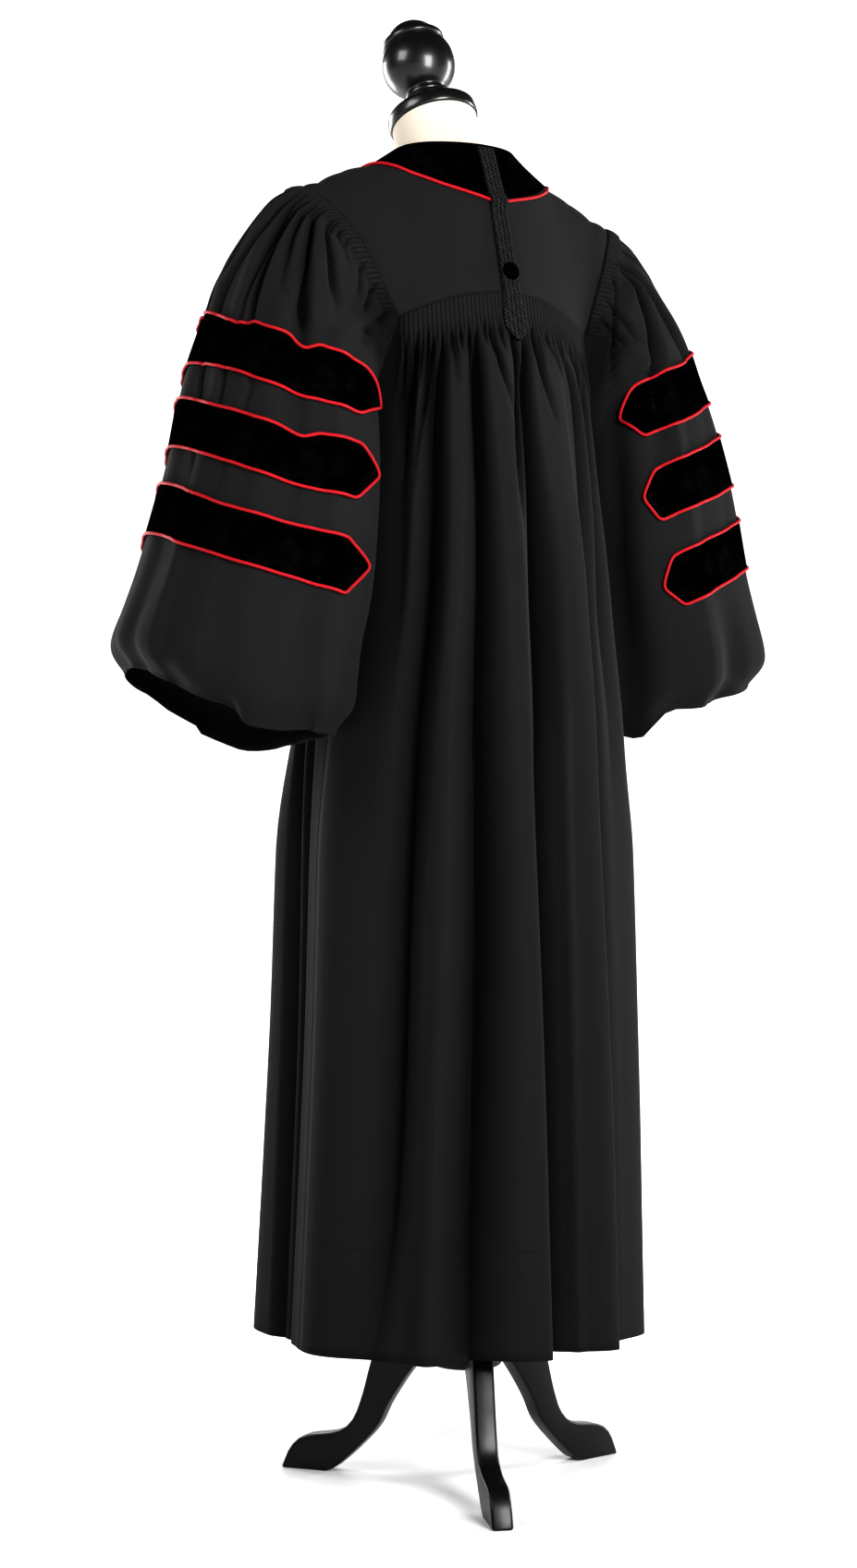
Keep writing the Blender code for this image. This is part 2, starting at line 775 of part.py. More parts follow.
def build_yoke(studio):
    """The smooth yoke over back and shoulders."""
    fans = steps(-FRONT_SEAM_FAN, FRONT_SEAM_FAN, 40)
    shares = (NECK_SEAM_SHARE, COLLAR_SHARE, 0.533, 0.767, 1.0)

    def surface(fan, share):
        return shoulder_point(fan, min(share, edge_share(fan)))

    outer = grid_rows(surface, shoulder_normal, [(s, fans) for s in shares], lambda f, s: 0.0)
    inner = grid_rows(surface, shoulder_normal, [(s, fans) for s in shares], lambda f, s: -CLOTH)
    mesh = Wall(outer, inner).mesh("yoke")
    soften(mesh)
    studio.place("yoke", mesh, "robe_cloth")


def build_back(studio):
    """The back, fluted under the arched seam and falling in folds to the hem."""
    limit = SIDE_ANGLE - math.degrees(SEAM_GAP / 2.0 / SKIRT[0][1])
    rib_angles = steps(-CORNER_ANGLE, CORNER_ANGLE, BACK_RIBS * 2)
    side = steps(CORNER_ANGLE, limit, 5)[1:]
    top_angles = [-a for a in reversed(side)] + rib_angles + side
    low_angles = fold_angles(steps(-limit, limit, BACK_COLUMNS))
    band = BACK_BAND / (ARCH_HEIGHT - TUBE_HEIGHT) * TUBE_DROP
    rises = {angle: RIB_RISE * (index % 2) for index, angle in enumerate(rib_angles)}
    gathers = {angle: index % 2 for index, angle in enumerate(low_angles)}

    def rise(angle, drop):
        if drop <= band:
            return rises.get(angle, 0.0)
        if abs(angle) > CORNER_ANGLE:
            return 0.0
        return GATHER_RISE * gathers.get(angle, 0) * (1.0 - smooth(band, GATHER_END, drop))

    low_drops = (0.048, 0.085, 0.135, 0.20, 0.29, 0.40, 0.54, 0.69, 0.85, 1.0)
    outer_drops = [(0.0, top_angles), (band, top_angles)] + [(d, low_angles) for d in low_drops]
    inner_drops = [(0.0, low_angles)] + [(d, low_angles) for d in low_drops[1:]]
    outer = grid_rows(body_point, body_normal, outer_drops, rise)
    inner = grid_rows(body_point, body_normal, inner_drops, lambda a, d: -CLOTH)
    mesh = Wall(outer, inner).mesh("back")
    soften(mesh)
    studio.place("back", mesh, "robe_cloth")


def front_patch(side_sign):
    """Points, faces and normals of one front, from the neck and the armhole to the hem."""
    gap = math.degrees(SEAM_GAP / 2.0 / SKIRT[0][1])
    fan_gap = SEAM_EASE / CHEST_HALF_WIDTH * (180.0 - FRONT_SEAM_FAN)
    fans = steps(FRONT_SEAM_FAN + fan_gap, 180.0 - fan_gap / 2.0, 5)
    to_angle = (180.0 - FRONT_SEAM_ANGLE) / (180.0 - FRONT_SEAM_FAN)
    inner_angles = [180.0 - (180.0 - fan) * to_angle for fan in fans]
    side_angles = steps(SIDE_ANGLE + gap, inner_angles[0], 6)
    shares = (NECK_SEAM_SHARE, COLLAR_SHARE, 0.533, 0.767)
    drops = (0.0, 0.07, 0.135, 0.20, 0.29, 0.40, 0.54, 0.69, 0.85, 1.0)
    points, normals, index_of = [], [], {}
    for row, share in enumerate(shares):
        for column, fan in enumerate(fans):
            index_of["upper", row, column] = len(points)
            points.append(shoulder_point(fan, share))
            normals.append(shoulder_normal(fan, share))
    angles = side_angles[:-1] + inner_angles
    for row, drop in enumerate(drops):
        for column, angle in enumerate(angles):
            index_of["lower", row, column] = len(points)
            points.append(body_point(angle, drop))
            normals.append(body_normal(angle, drop))
    offset = len(side_angles) - 1
    for column in range(len(fans)):
        index_of["upper", len(shares), column] = index_of["lower", 0, column + offset]
    faces = []
    blocks = (("upper", len(shares), len(fans) - 1), ("lower", len(drops) - 1, len(angles) - 1))
    for block, row_count, column_count in blocks:
        for row in range(row_count):
            for column in range(column_count):
                corners = ((row, column), (row, column + 1), (row + 1, column + 1), (row + 1, column))
                faces += split_quad(*(index_of[block, r, c] for r, c in corners), False)
    return points, faces, normals


def build_fronts(studio):
    """The two fronts, meeting edge to edge at centre front."""
    points, faces, normals = front_patch(1)
    count = len(points)
    inner = [point - normal * CLOTH for point, normal in zip(points, normals)]
    edges = {}
    for face in faces:
        for start, end in zip(face, face[1:] + face[:1]):
            edges[start, end] = True
    walls = [tuple(i + count for i in reversed(face)) for face in faces]
    for start, end in edges:
        if (end, start) not in edges:
            walls.append((end, start, start + count, end + count))
    mesh = bpy.data.meshes.new("front")
    mesh.from_pydata([tuple(p) for p in points + inner], [], faces + walls)
    soften(mesh)
    studio.place_pair("front_LR", mesh, "robe_cloth")


def build_sleeves(studio):
    """The wide bell sleeves, fluted at the head."""
    rib_turns = steps(SLEEVE_RIB_FROM, SLEEVE_RIB_TO, SLEEVE_RIBS * 2)
    under_turns = steps(CORNER_TURN, UNDERARM_TURN, 5)[1:] + steps(UNDERARM_TURN, FRONT_SEAM_TURN, 6)[1:-1]
    top_turns = sorted(rib_turns + [turn - 1.0 if turn > UNDERARM_TURN else turn for turn in under_turns])
    low_turns = sleeve_columns()
    rises = {turn: SLEEVE_RIB_RISE * (index % 2) for index, turn in enumerate(rib_turns)}
    gathers = {turn: index % 2 for index, turn in enumerate(low_turns)}

    def rise(turn, drop):
        if drop <= SLEEVE_BAND:
            return rises.get(turn, 0.0)
        if not SLEEVE_RIB_FROM < turn < SLEEVE_RIB_TO:
            return 0.0
        fade = 1.0 - smooth(SLEEVE_BAND, SLEEVE_GATHER_END, drop)
        return SLEEVE_GATHER_RISE * gathers.get(turn, 0) * fade

    bar_edges = [share + side for share, _, _ in BARS for side in (-BAR_HALF, BAR_HALF)]
    low_drops = [0.055, 0.10, 0.17, 0.24] + [sleeve_drop(share) for share in bar_edges + [0.78, 0.92, 1.0]]
    outer_drops = [(0.0, top_turns), (SLEEVE_BAND, top_turns)] + [(d, low_turns) for d in low_drops]
    inner_drops = [(0.0, low_turns)] + [(d, low_turns) for d in low_drops]
    outer = grid_rows(sleeve_point, sleeve_normal, outer_drops, rise)
    inner = grid_rows(sleeve_point, sleeve_normal, inner_drops, lambda t, d: -CLOTH)
    mesh = Wall(outer, inner, closed=True, flipped=True).mesh("sleeve")
    soften(mesh)
    studio.place_pair("sleeve_LR", mesh, "robe_cloth")


def sleeve_columns():
    """Turns of the sleeve's columns from under the arm round to under the arm again."""
    outer = steps(-SLEEVE_OUTER_TURN, SLEEVE_OUTER_TURN, SLEEVE_OUTER_COLUMNS)
    corners = sorted({turn for _, corner, tip in BARS for turn in (corner, tip)})
    under = steps(SLEEVE_UNDER_TURN, 1.0 - SLEEVE_UNDER_TURN, SLEEVE_UNDER_COLUMNS)
    under = [turn - 1.0 if turn > UNDERARM_TURN + BAR_COLUMN_MARGIN else turn for turn in under]
    return sorted(outer + corners + [-turn for turn in corners] + under)


def bar_columns(corner, tip):
    """Turns of a bar's columns: the sleeve's own between its tips, and its corners."""
    inside = [turn for turn in sleeve_columns() if abs(turn) < tip - BAR_COLUMN_MARGIN]
    kept = [turn for turn in inside if abs(abs(turn) - corner) > BAR_COLUMN_MARGIN]
    return sorted(kept + [-corner, corner])


def bar_half(turn, corner, tip):
    """Half the height of a bar at a turn, as a share of the sleeve's hanging part."""
    return BAR_HALF * clamp((tip - abs(turn)) / (tip - corner))


def on_sleeve(turn, share, lift):
    """A point over the sleeve's outer face."""
    drop = sleeve_drop(share)
    return sleeve_point(turn, drop) + sleeve_normal(turn, drop) * lift


def in_band(turn, middle, away, lift):
    """A point over the straight run between the sleeve's rows at a bar's two edges."""
    upper = on_sleeve(turn, middle - BAR_HALF, lift)
    lower = on_sleeve(turn, middle + BAR_HALF, lift)
    return lerp(upper, lower, (away + BAR_HALF) / (2.0 * BAR_HALF))


def build_bars(studio):
    """Three velvet bars on each sleeve, pointed at both ends, with their piping."""
    for number, (middle, corner, tip) in enumerate(BARS, 1):
        columns = bar_columns(corner, tip)
        rows = {}
        for layer, lift in (("outer", BAR_LIFT + VELVET), ("inner", BAR_LIFT)):
            rows[layer] = []
            for side in (-1, 1):
                aways = [(turn, side * bar_half(turn, corner, tip)) for turn in columns]
                line = [(turn, in_band(turn, middle, away, lift)) for turn, away in aways]
                rows[layer].append((side, line))
        wall = Wall(rows["outer"], rows["inner"], flipped=True)
        add_tips(wall, len(columns), middle, tip)
        mesh = wall.mesh(f"bar_{number}")
        soften(mesh)
        studio.place_pair(f"bar_LR_{number}", mesh, "velvet")
        pipe = bar_piping(f"bar_piping_{number}", middle, corner, tip)
        studio.place_pair(f"bar_piping_LR_{number}", pipe, "piping")


def bar_piping(name, middle, corner, tip):
    """The piping round a bar, just clear of its edge."""
    corner += PIPING_REACH * PIPING_CORNER
    tip += PIPING_REACH * PIPING_TIP
    columns = bar_columns(corner, tip)
    half = BAR_HALF + PIPING_REACH
    places = []
    for side in (-1, 1):
        line = [(turn, side * half * bar_half(turn, corner, tip) / BAR_HALF) for turn in columns]
        end = columns[-1] if side < 0 else columns[0]
        places += (line if side < 0 else line[::-1]) + [(math.copysign(tip, end), 0.0)]
    route = [in_band(turn, middle, away, BAR_LIFT + PIPING_RADIUS) for turn, away in places]
    normals = [sleeve_normal(turn, sleeve_drop(middle + away)) for turn, away in places]
    return ring_tube(name, route, normals, PIPING_RADIUS, PIPING_SIDES)


def add_tips(wall, per_row, middle, tip):
    """Draws the bar's two ends out to points."""
    for side, column in ((-1, 0), (1, per_row - 1)):
        outer_top, outer_low, inner_top, inner_low = (column + row * per_row for row in range(4))
        corners = {outer_top, outer_low, inner_top, inner_low}
        wall.faces = [face for face in wall.faces if not set(face) <= corners]
        outer_tip = len(wall.points)
        wall.points.append(in_band(side * tip, middle, 0.0, BAR_LIFT + VELVET))
        wall.points.append(in_band(side * tip, middle, 0.0, BAR_LIFT))
        inner_tip = outer_tip + 1
        fresh = [
            (outer_top, outer_tip, outer_low),
            (inner_low, inner_tip, inner_top),
            (inner_top, inner_tip, outer_tip),
            (inner_top, outer_tip, outer_top),
            (outer_low, outer_tip, inner_tip),
            (outer_low, inner_tip, inner_low),
        ]
        wall.faces += [tuple(reversed(face)) for face in fresh] if side < 0 else fresh


def ring_tube(name, route, normals, radius, sides, closed=True):
    """A tube along a route of points, closed on itself or capped."""
    points, faces = [], []
    count = len(route)
    for index, centre in enumerate(route):
        before = route[(index - 1) % count] if closed or index else centre
        after = route[(index + 1) % count] if closed or index < count - 1 else centre
        ahead = (after - before).normalized()
        up = (normals[index] - ahead * normals[index].dot(ahead)).normalized()
        across = ahead.cross(up)
        for side in range(sides):
            angle = 2.0 * math.pi * side / sides
            points.append(centre + (up * math.cos(angle) + across * math.sin(angle)) * radius)
    for index in range(count if closed else count - 1):
        following = (index + 1) % count
        for side in range(sides):
            turned = (side + 1) % sides
            faces.append((
                index * sides + side,
                index * sides + turned,
                following * sides + turned,
                following * sides + side,
            ))
    if not closed:
        faces.append(tuple(reversed(range(sides))))
        faces.append(tuple(range((count - 1) * sides, count * sides)))
    mesh = bpy.data.meshes.new(name)
    mesh.from_pydata([tuple(point) for point in points], [], faces)
    fix_outward(mesh)
    mesh.shade_smooth()
    return mesh


def fix_outward(mesh):
    """Turns the faces of a closed mesh outwards."""
    editor = bmesh.new()
    editor.from_mesh(mesh)
    bmesh.ops.recalc_face_normals(editor, faces=editor.faces)
    if editor.calc_volume(signed=True) < 0.0:
        bmesh.ops.reverse_faces(editor, faces=editor.faces)
    editor.to_mesh(mesh)
    editor.free()


def build_collar(studio):
    """The velvet collar, lying over the yoke and meeting at centre front."""
    fans = collar_fans()
    shares = (0.0, NECK_SEAM_SHARE, COLLAR_SHARE)

    def lifted(lift):
        return grid_rows(shoulder_point, collar_normal, [(share, fans) for share in shares],
                         lambda fan, share: lift)

    mesh = Wall(lifted(COLLAR_LIFT + VELVET), lifted(COLLAR_LIFT)).mesh("collar")
    soften(mesh)
    studio.place("collar", mesh, "velvet")
    route, normals = [], []
    for fan in collar_fans():
        normal = shoulder_normal(fan, COLLAR_PIPING_SHARE)
        route.append(shoulder_point(fan, COLLAR_PIPING_SHARE) + normal * (COLLAR_LIFT + PIPING_RADIUS))
        normals.append(normal)
    pipe = ring_tube("collar_piping", route, normals, PIPING_RADIUS, COLLAR_PIPING_SIDES, closed=False)
    studio.place("collar_piping", pipe, "piping")


def collar_fans():
    """Fan angles of the collar's columns, on those of the yoke and the fronts."""
    back = steps(-FRONT_SEAM_FAN, FRONT_SEAM_FAN, 40)
    front = steps(FRONT_SEAM_FAN, 180.0, 5)[1:-1] + [180.0 - COLLAR_OPENING]
    return [-f for f in reversed(front)] + back + front


def collar_normal(fan, share):
    """Outward normal under the collar, the same from its top to its outer edge."""
    return shoulder_normal(fan, NECK_SEAM_SHARE)


def strap_depth(height):
    """How far back the strap's underside lies at centre back, over collar, yoke and fluting."""
    collar = collar_point(0.0)
    neck = neck_point(0.0)
    if abs(height - collar.z) < STRAP_BRIDGE:
        return collar.y + STRAP_OVER_PIPING
    if height > collar.z:
        share = (height - collar.z) / (neck.z - collar.z)
        return lerp(collar.y, neck.y, share) + STRAP_OVER_COLLAR
    if height > ARCH_HEIGHT:
        share = (height - ARCH_HEIGHT) / (collar.z - ARCH_HEIGHT)
        return lerp(ARCH_BACK, collar.y, share) + STRAP_OVER_YOKE
    drop = (ARCH_HEIGHT - height) / (ARCH_HEIGHT - TUBE_HEIGHT) * TUBE_DROP
    return body_point(0.0, drop).y + GATHER_RISE + SEAM_GAP


def build_strap(studio):
    """The braided strap down centre back, and its covered button."""
    points, faces = [], []
    for height, half_width in STRAP:
        back = strap_depth(height)
        for x, y in ((half_width, back), (-half_width, back), (-half_width, back + STRAP_THICKNESS),
                     (half_width, back + STRAP_THICKNESS)):
            points.append((x, y, height))
    for row in range(len(STRAP) - 1):
        for side in range(4):
            turned = (side + 1) % 4
            faces.append((row * 4 + side, row * 4 + turned, row * 4 + 4 + turned, row * 4 + 4 + side))
    last = (len(STRAP) - 1) * 4
    faces.append((3, 2, 1, 0))
    faces.append((last, last + 1, last + 2, last + 3))
    mesh = bpy.data.meshes.new("back_strap")
    mesh.from_pydata(points, [], faces)
    fix_outward(mesh)
    studio.place("back_strap", mesh, "braid")
    dome = [(0.0, BUTTON_RISE), (BUTTON_RADIUS * 0.45, BUTTON_RISE * 0.92),
            (BUTTON_RADIUS * 0.8, BUTTON_RISE * 0.7), (BUTTON_RADIUS, BUTTON_RISE * 0.35),
            (BUTTON_RADIUS * 0.96, 0.0), (0.0, 0.0)]
    seat = strap_depth(BUTTON_HEIGHT) + STRAP_THICKNESS + SEAM_GAP + 0.0002
    lean = math.atan2(ARCH_BACK - collar_point(0.0).y, collar_point(0.0).z - ARCH_HEIGHT)
    turn_piece(studio, "back_button", dome, BUTTON_STEPS, "velvet", (0.0, seat, BUTTON_HEIGHT),
               (-math.pi / 2.0 + lean, 0.0, 0.0))


def turn_piece(studio, name, profile, count, finish, location=(0.0, 0.0, 0.0), rotation=(0.0, 0.0, 0.0)):
    """A turned piece from a profile of (radius, height), top to bottom."""
    mesh = bpy.data.meshes.new(name)
    points = [(radius, 0.0, height) for radius, height in profile]
    mesh.from_pydata(points, [(i, i + 1) for i in range(len(points) - 1)], [])
    piece = studio.place(name, mesh, finish, location, rotation)
    screw = piece.modifiers.new("turn", "SCREW")
    screw.axis = "Z"
    screw.steps = count
    screw.render_steps = count
    screw.use_merge_vertices = True
    screw.merge_threshold = 0.0001
    screw.use_smooth_shade = True
    return piece


def form_ring(fans, share):
    """A ring of the form's shoulders, just under the robe."""
    ring = []
    for fan in fans:
        end = min(share, edge_share(fan))
        point = shoulder_point(fan, end) - shoulder_normal(fan, share) * FORM_SKIN
        if abs(fan) > FRONT_SEAM_FAN:
            ease = smooth(FRONT_SEAM_FAN, FRONT_SEAM_FAN + 20.0, abs(fan))
            point -= shoulder_normal(fan, share) * FORM_CHEST_GAP * ease
        if share == FORM_SHOULDER_SHARES[-1]:
            inward = Vector((point.x, point.y - NECK_Y, 0.0)).normalized()
            point -= inward * FORM_ARM_INSET
        ring.append(point)
    return ring


def build_form(studio):
    """The limbless form: hips, waist, shoulders and a leaning neck."""
    front = [FRONT_SEAM_FAN + 18.0, FRONT_SEAM_FAN + 36.5]
    fans = [-180.0] + [-f for f in reversed(front)] + steps(-FRONT_SEAM_FAN, FRONT_SEAM_FAN, 20) + front
    fan_to_angle = ((0.0, 0.0), (CORNER_FAN, CORNER_ANGLE), (90.0, 90.0),
                    (FRONT_SEAM_FAN, FRONT_SEAM_ANGLE), (180.0, 180.0))
    rings = []
    cap = Vector(CAP_CENTRE)
    down = Vector((0.0, math.sin(NECK_LEAN), -math.cos(NECK_LEAN)))
    top = cap + down * (CAP_HALF + SEAM_GAP)
    rings.append(tilted_ring(fans, top, NECK_TOP_RADIUS, NECK_TOP_RADIUS, NECK_LEAN))
    for y, z, half_width, half_depth, lean in NECK_RINGS:
        rings.append(tilted_ring(fans, Vector((0.0, y, z)), half_width, half_depth, math.radians(lean)))
    for share in FORM_SHOULDER_SHARES:
        rings.append(form_ring(fans, share))
    for height, half_width, back, front_y in FORM_SECTIONS:
        ring = []
        for fan in fans:
            angle = math.radians(math.copysign(straight_along(fan_to_angle, abs(fan)), fan))
            radius = oval_radius(angle, half_width, (back - front_y) / 2.0, FORM_POWER)
            middle = (back + front_y) / 2.0
            ring.append(Vector((radius * math.sin(angle), middle + radius * math.cos(angle), height)))
        rings.append(ring)
    points, faces = [], []
    for ring in rings:
        points += [tuple(point) for point in ring]
    count = len(fans)
    for row in range(len(rings) - 1):
        for column in range(count):
            beside = (column + 1) % count
            corners = (row * count + column, row * count + beside,
                       (row + 1) * count + beside, (row + 1) * count + column)
            behind = abs(fans[column]) < SIDE_ANGLE
            faces += split_quad(*corners, (fans[column] >= 0.0) == behind)
    faces.append(tuple(reversed(range(count))))
    faces.append(tuple(range((len(rings) - 1) * count, len(rings) * count)))
    mesh = bpy.data.meshes.new("dress_form")
    mesh.from_pydata(points, [], faces)
    fix_outward(mesh)
    soften(mesh)
    studio.place("dress_form", mesh, "form_cover")


def tilted_ring(fans, centre, half_width, half_depth, lean):
    """A ring across the neck, leaning forwards."""
    ring = []
    for fan in fans:
        angle = math.radians(fan)
        back = half_depth * math.cos(angle)
        offset = Vector((half_width * math.sin(angle), back * math.cos(lean), back * math.sin(lean)))
        ring.append(centre + offset)
    return ring


def arc(radius, centre, start, end, count):
    """Points of a profile's round stretch, angles from the axis's top."""
    return [(radius * math.sin(a), centre + radius * math.cos(a)) for a in steps(start, end, count)]


def build_stand(studio):
    """Cap, finial, column, hub and three legs."""
    lean = (NECK_LEAN, 0.0, 0.0)
    turn_piece(studio, "neck_cap", CAP_PROFILE, FINIAL_STEPS, "black_lacquer", CAP_CENTRE, lean)
    ring_angle = math.acos(RING_HEIGHT / BALL_RADIUS)
    foot_angle = math.pi - math.asin(FINIAL_NECK / BALL_RADIUS)
    foot = CAP_PROFILE[0][1] + SEAM_GAP
    profile = arc(DOME_RADIUS, BALL_CENTRE + FINIAL_TOP - DOME_RADIUS, 0.0, math.radians(64.0), 4)
    profile += [(RING_RADIUS - 0.002, BALL_CENTRE + RING_HEIGHT + 0.0060),
                (RING_RADIUS, BALL_CENTRE + RING_HEIGHT + 0.0040),
                (RING_RADIUS, BALL_CENTRE + RING_HEIGHT + 0.0010)]
    profile += arc(BALL_RADIUS, BALL_CENTRE, ring_angle, foot_angle, 9)
    profile += [(0.0252, foot + 0.0065), (0.0262, foot + 0.0040), (0.0252, foot), (0.0, foot)]
    turn_piece(studio, "finial", profile, FINIAL_STEPS, "black_lacquer", CAP_CENTRE, lean)
    column_top = FORM_SECTIONS[-1][0] - SEAM_GAP
    column_foot = HUB_TOP + SEAM_GAP
    turn_piece(studio, "column", ((0.0, column_top), (COLUMN_RADIUS, column_top),
                              (COLUMN_RADIUS, column_foot), (0.0, column_foot)),
           HUB_STEPS, "black_stand")
    hub = ((0.0, HUB_TOP), (0.024, HUB_TOP), (0.030, HUB_TOP - 0.006), (HUB_RADIUS - 0.002, 0.2200),
           (HUB_RADIUS, 0.2170), (HUB_RADIUS, HUB_BOTTOM + 0.006), (HUB_RADIUS - 0.006, HUB_BOTTOM),
           (0.0, HUB_BOTTOM))
    turn_piece(studio, "hub", hub, HUB_STEPS, "black_stand")
    for number in range(LEG_COUNT):
        build_leg(studio, number)


def edge_curve(rows, count):
    """Points on a smooth curve through a leg's edge points."""
    keyed = [(float(index), *row) for index, row in enumerate(rows)]
    last = len(rows) - 1
    return [tuple(along(keyed, key)) for key in steps(0.0, last, count)]


def build_leg(studio, number):
    """One flat leg with rounded edges, from the hub to its sole."""
    outline = edge_curve(LEG_UPPER_EDGE, 13) + edge_curve(LEG_UNDER_EDGE, 9)
    half = LEG_THICKNESS / 2.0
    editor = bmesh.new()
    corners = [editor.verts.new((radius, -half, height)) for radius, height in outline]
    face = editor.faces.new(corners)
    grown = bmesh.ops.extrude_face_region(editor, geom=[face])
    moved = [item for item in grown["geom"] if isinstance(item, bmesh.types.BMVert)]
    bmesh.ops.translate(editor, verts=moved, vec=(0.0, LEG_THICKNESS, 0.0))
    bmesh.ops.recalc_face_normals(editor, faces=editor.faces)
    mesh = bpy.data.meshes.new(f"leg_{number + 1}")
    editor.to_mesh(mesh)
    editor.free()
    angle = FIRST_LEG_ANGLE + number * 2.0 * math.pi / LEG_COUNT
    piece = studio.place(f"leg_{number + 1}", mesh, "black_stand", rotation=(0.0, 0.0, angle))
    bevel = piece.modifiers.new("rounded_edges", "BEVEL")
    bevel.width = LEG_ROUND
    bevel.segments = 1
    bevel.limit_method = "ANGLE"
    bevel.angle_limit = math.radians(60.0)
    soften(mesh)


def main():
    """Builds the robe and what it hangs on."""
    studio = Studio()
    build_yoke(studio)
    build_back(studio)
    build_fronts(studio)
    build_sleeves(studio)
    build_collar(studio)
    build_bars(studio)
    build_strap(studio)
    build_form(studio)
    build_stand(studio)


main()
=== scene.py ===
"""Looks of a clergy robe hung on a limbless dress form with a black stand.

The robe's cloth is made of thin shells on the part's own forms, with their creases and
gathers placed one by one. Lengths are in metres, but creases' rises and turned pieces' radii
and heights are in millimetres. The body's shapes are measured from the stand's axis and
moved to its place when they are laid down.
"""

import logging
import math
from dataclasses import dataclass, field
from enum import Enum
from typing import Callable, Sequence

import bmesh
import bpy
import numpy as np
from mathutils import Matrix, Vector


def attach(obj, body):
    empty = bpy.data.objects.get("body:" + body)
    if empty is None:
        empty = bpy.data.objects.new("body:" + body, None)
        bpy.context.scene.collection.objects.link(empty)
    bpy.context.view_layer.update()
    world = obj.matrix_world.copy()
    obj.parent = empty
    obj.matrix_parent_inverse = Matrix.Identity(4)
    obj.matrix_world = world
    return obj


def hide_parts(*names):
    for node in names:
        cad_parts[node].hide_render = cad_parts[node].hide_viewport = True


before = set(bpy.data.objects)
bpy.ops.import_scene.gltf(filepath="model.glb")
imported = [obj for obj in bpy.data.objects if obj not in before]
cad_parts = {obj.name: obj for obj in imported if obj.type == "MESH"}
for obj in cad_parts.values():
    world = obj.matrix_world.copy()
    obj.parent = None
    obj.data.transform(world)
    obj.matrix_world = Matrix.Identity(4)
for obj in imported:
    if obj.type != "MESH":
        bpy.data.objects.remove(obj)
LOG = logging.getLogger("robe")

Rows = Sequence[Sequence[float]]
Array = np.ndarray
Object = bpy.types.Object
Tree = bpy.types.NodeTree

PARTS = 1000.0
TURN = 2.0 * math.pi
# the stand's axis, the cloths' thicknesses and the gap under what lies on them
AXIS_Y = 0.0228
AXIS = np.array((0.0, AXIS_Y, 0.0))
CLOTH = 0.0016
VELVET = 0.0015
GAP = 0.0006
# the arched seam at centre back, and how far below it the hanging cloth begins
ARCH_Y = 0.087
ARCH_HEIGHT = 1.351
ARCH_FALL = 0.231
# the armhole's turns at the arched seam, under the arm and at the line across the front
BACK_CORNER = 0.27
UNDER_ARM = 0.5
FRONT_CORNER = 0.8
# a bar's outline: a whole drop's length over a whole turn's, and its number of points
DROP_PER_TURN = 0.42
OUTLINE_POINTS = 420


class Side(Enum):
    """The robe's two sides, by the sign of x."""

    LEFT = 1
    RIGHT = -1

    @property
    def word(self) -> str:
        """The side as pieces are named."""
        return self.name.lower()

    @property
    def mirror(self) -> Array:
        """What brings the left side's points over to this side."""
        return np.array((self.value, 1.0, 1.0))


# -------- smooth curves and blends


def lerp(a: Array, b: Array, share: Array) -> Array:
    """The value or point at a share of the way from a to b."""
    return a + (b - a) * share


def bounded(value: Array) -> Array:
    """The value, from 0 at least to 1 at most."""
    return np.clip(value, 0.0, 1.0)


def smooth(start: float, end: float, value: Array) -> Array:
    """0 at start, 1 at end, with a soft start and finish."""
    share = bounded((value - start) / (end - start))
    return share * share * (3.0 - 2.0 * share)


def wrapped(value: Array, period: float) -> Array:
    """A value less whole periods, from minus half a period to half a period."""
    return np.mod(value + period / 2.0, period) - period / 2.0


def column(value: Array) -> Array:
    """A number for each point, shaped to multiply points."""
    return np.asarray(value)[..., None]


def unit(points: Array) -> Array:
    """Vectors at length one."""
    return points / np.maximum(np.linalg.norm(points, axis=-1, keepdims=True), 1e-12)


def run_lengths(points: Array) -> Array:
    """Lengths along a line from its first point to each of its points."""
    return np.concatenate([[0.0], np.cumsum(np.linalg.norm(np.diff(points, axis=0), axis=-1))])


def hermite(p0: Array, m0: Array, p1: Array, m1: Array, t: Array) -> Array:
    """A point of the curve from p0 to p1 that leaves with m0 and arrives with m1.

    Args:
        p0, m0: Start and direction there.
        p1, m1: End and direction there.
        t: Share of the way.

    Returns:
        The point.
    """
    return (
        p0 * (2 * t**3 - 3 * t**2 + 1)
        + m0 * (t**3 - 2 * t**2 + t)
        + p1 * (-2 * t**3 + 3 * t**2)
        + m1 * (t**3 - t**2)
    )


def along(rows: Rows, key: Array) -> Array:
    """The other columns at a key in the first, on a smooth curve through the rows.

    Args:
        rows: The table.
        key: Where to read it.

    Returns:
        The other columns' values.
    """
    table = np.asarray(rows, float)
    keys, values = table[:, 0], table[:, 1:]
    key = np.clip(np.asarray(key, float), keys[0], keys[-1])
    index = np.clip(np.searchsorted(keys, key) - 1, 0, len(keys) - 2)
    order = np.arange(len(keys))
    before, after = np.maximum(order - 1, 0), np.minimum(order + 1, len(keys) - 1)
    slopes = (values[after] - values[before]) / column(keys[after] - keys[before])
    span = column(keys[index + 1] - keys[index])
    t = column(key - keys[index]) / span
    return hermite(values[index], slopes[index] * span, values[index + 1], slopes[index + 1] * span, t)


def around(rows: Rows, turn: Array) -> Array:
    """As along, for rows that close on themselves after one turn.

    Args:
        rows: The table.
        turn: Where to read it, in turns.

    Returns:
        The other columns' values.
    """
    table = np.asarray(rows, float)
    one = np.zeros(table.shape[1])
    one[0] = 1.0
    closed = np.concatenate([table[-2:] - one, table, table[:3] + one])
    return along(closed, np.mod(turn, 1.0))


def oval_radius(angle: Array, half_side: Array, half_depth: Array, power: Array) -> Array:
    """Distance from its centre to a squarish oval, at an angle from its depth axis."""
    side, depth = np.abs(np.sin(angle) / half_side), np.abs(np.cos(angle) / half_depth)
    return (side**power + depth**power) ** (-1.0 / power)


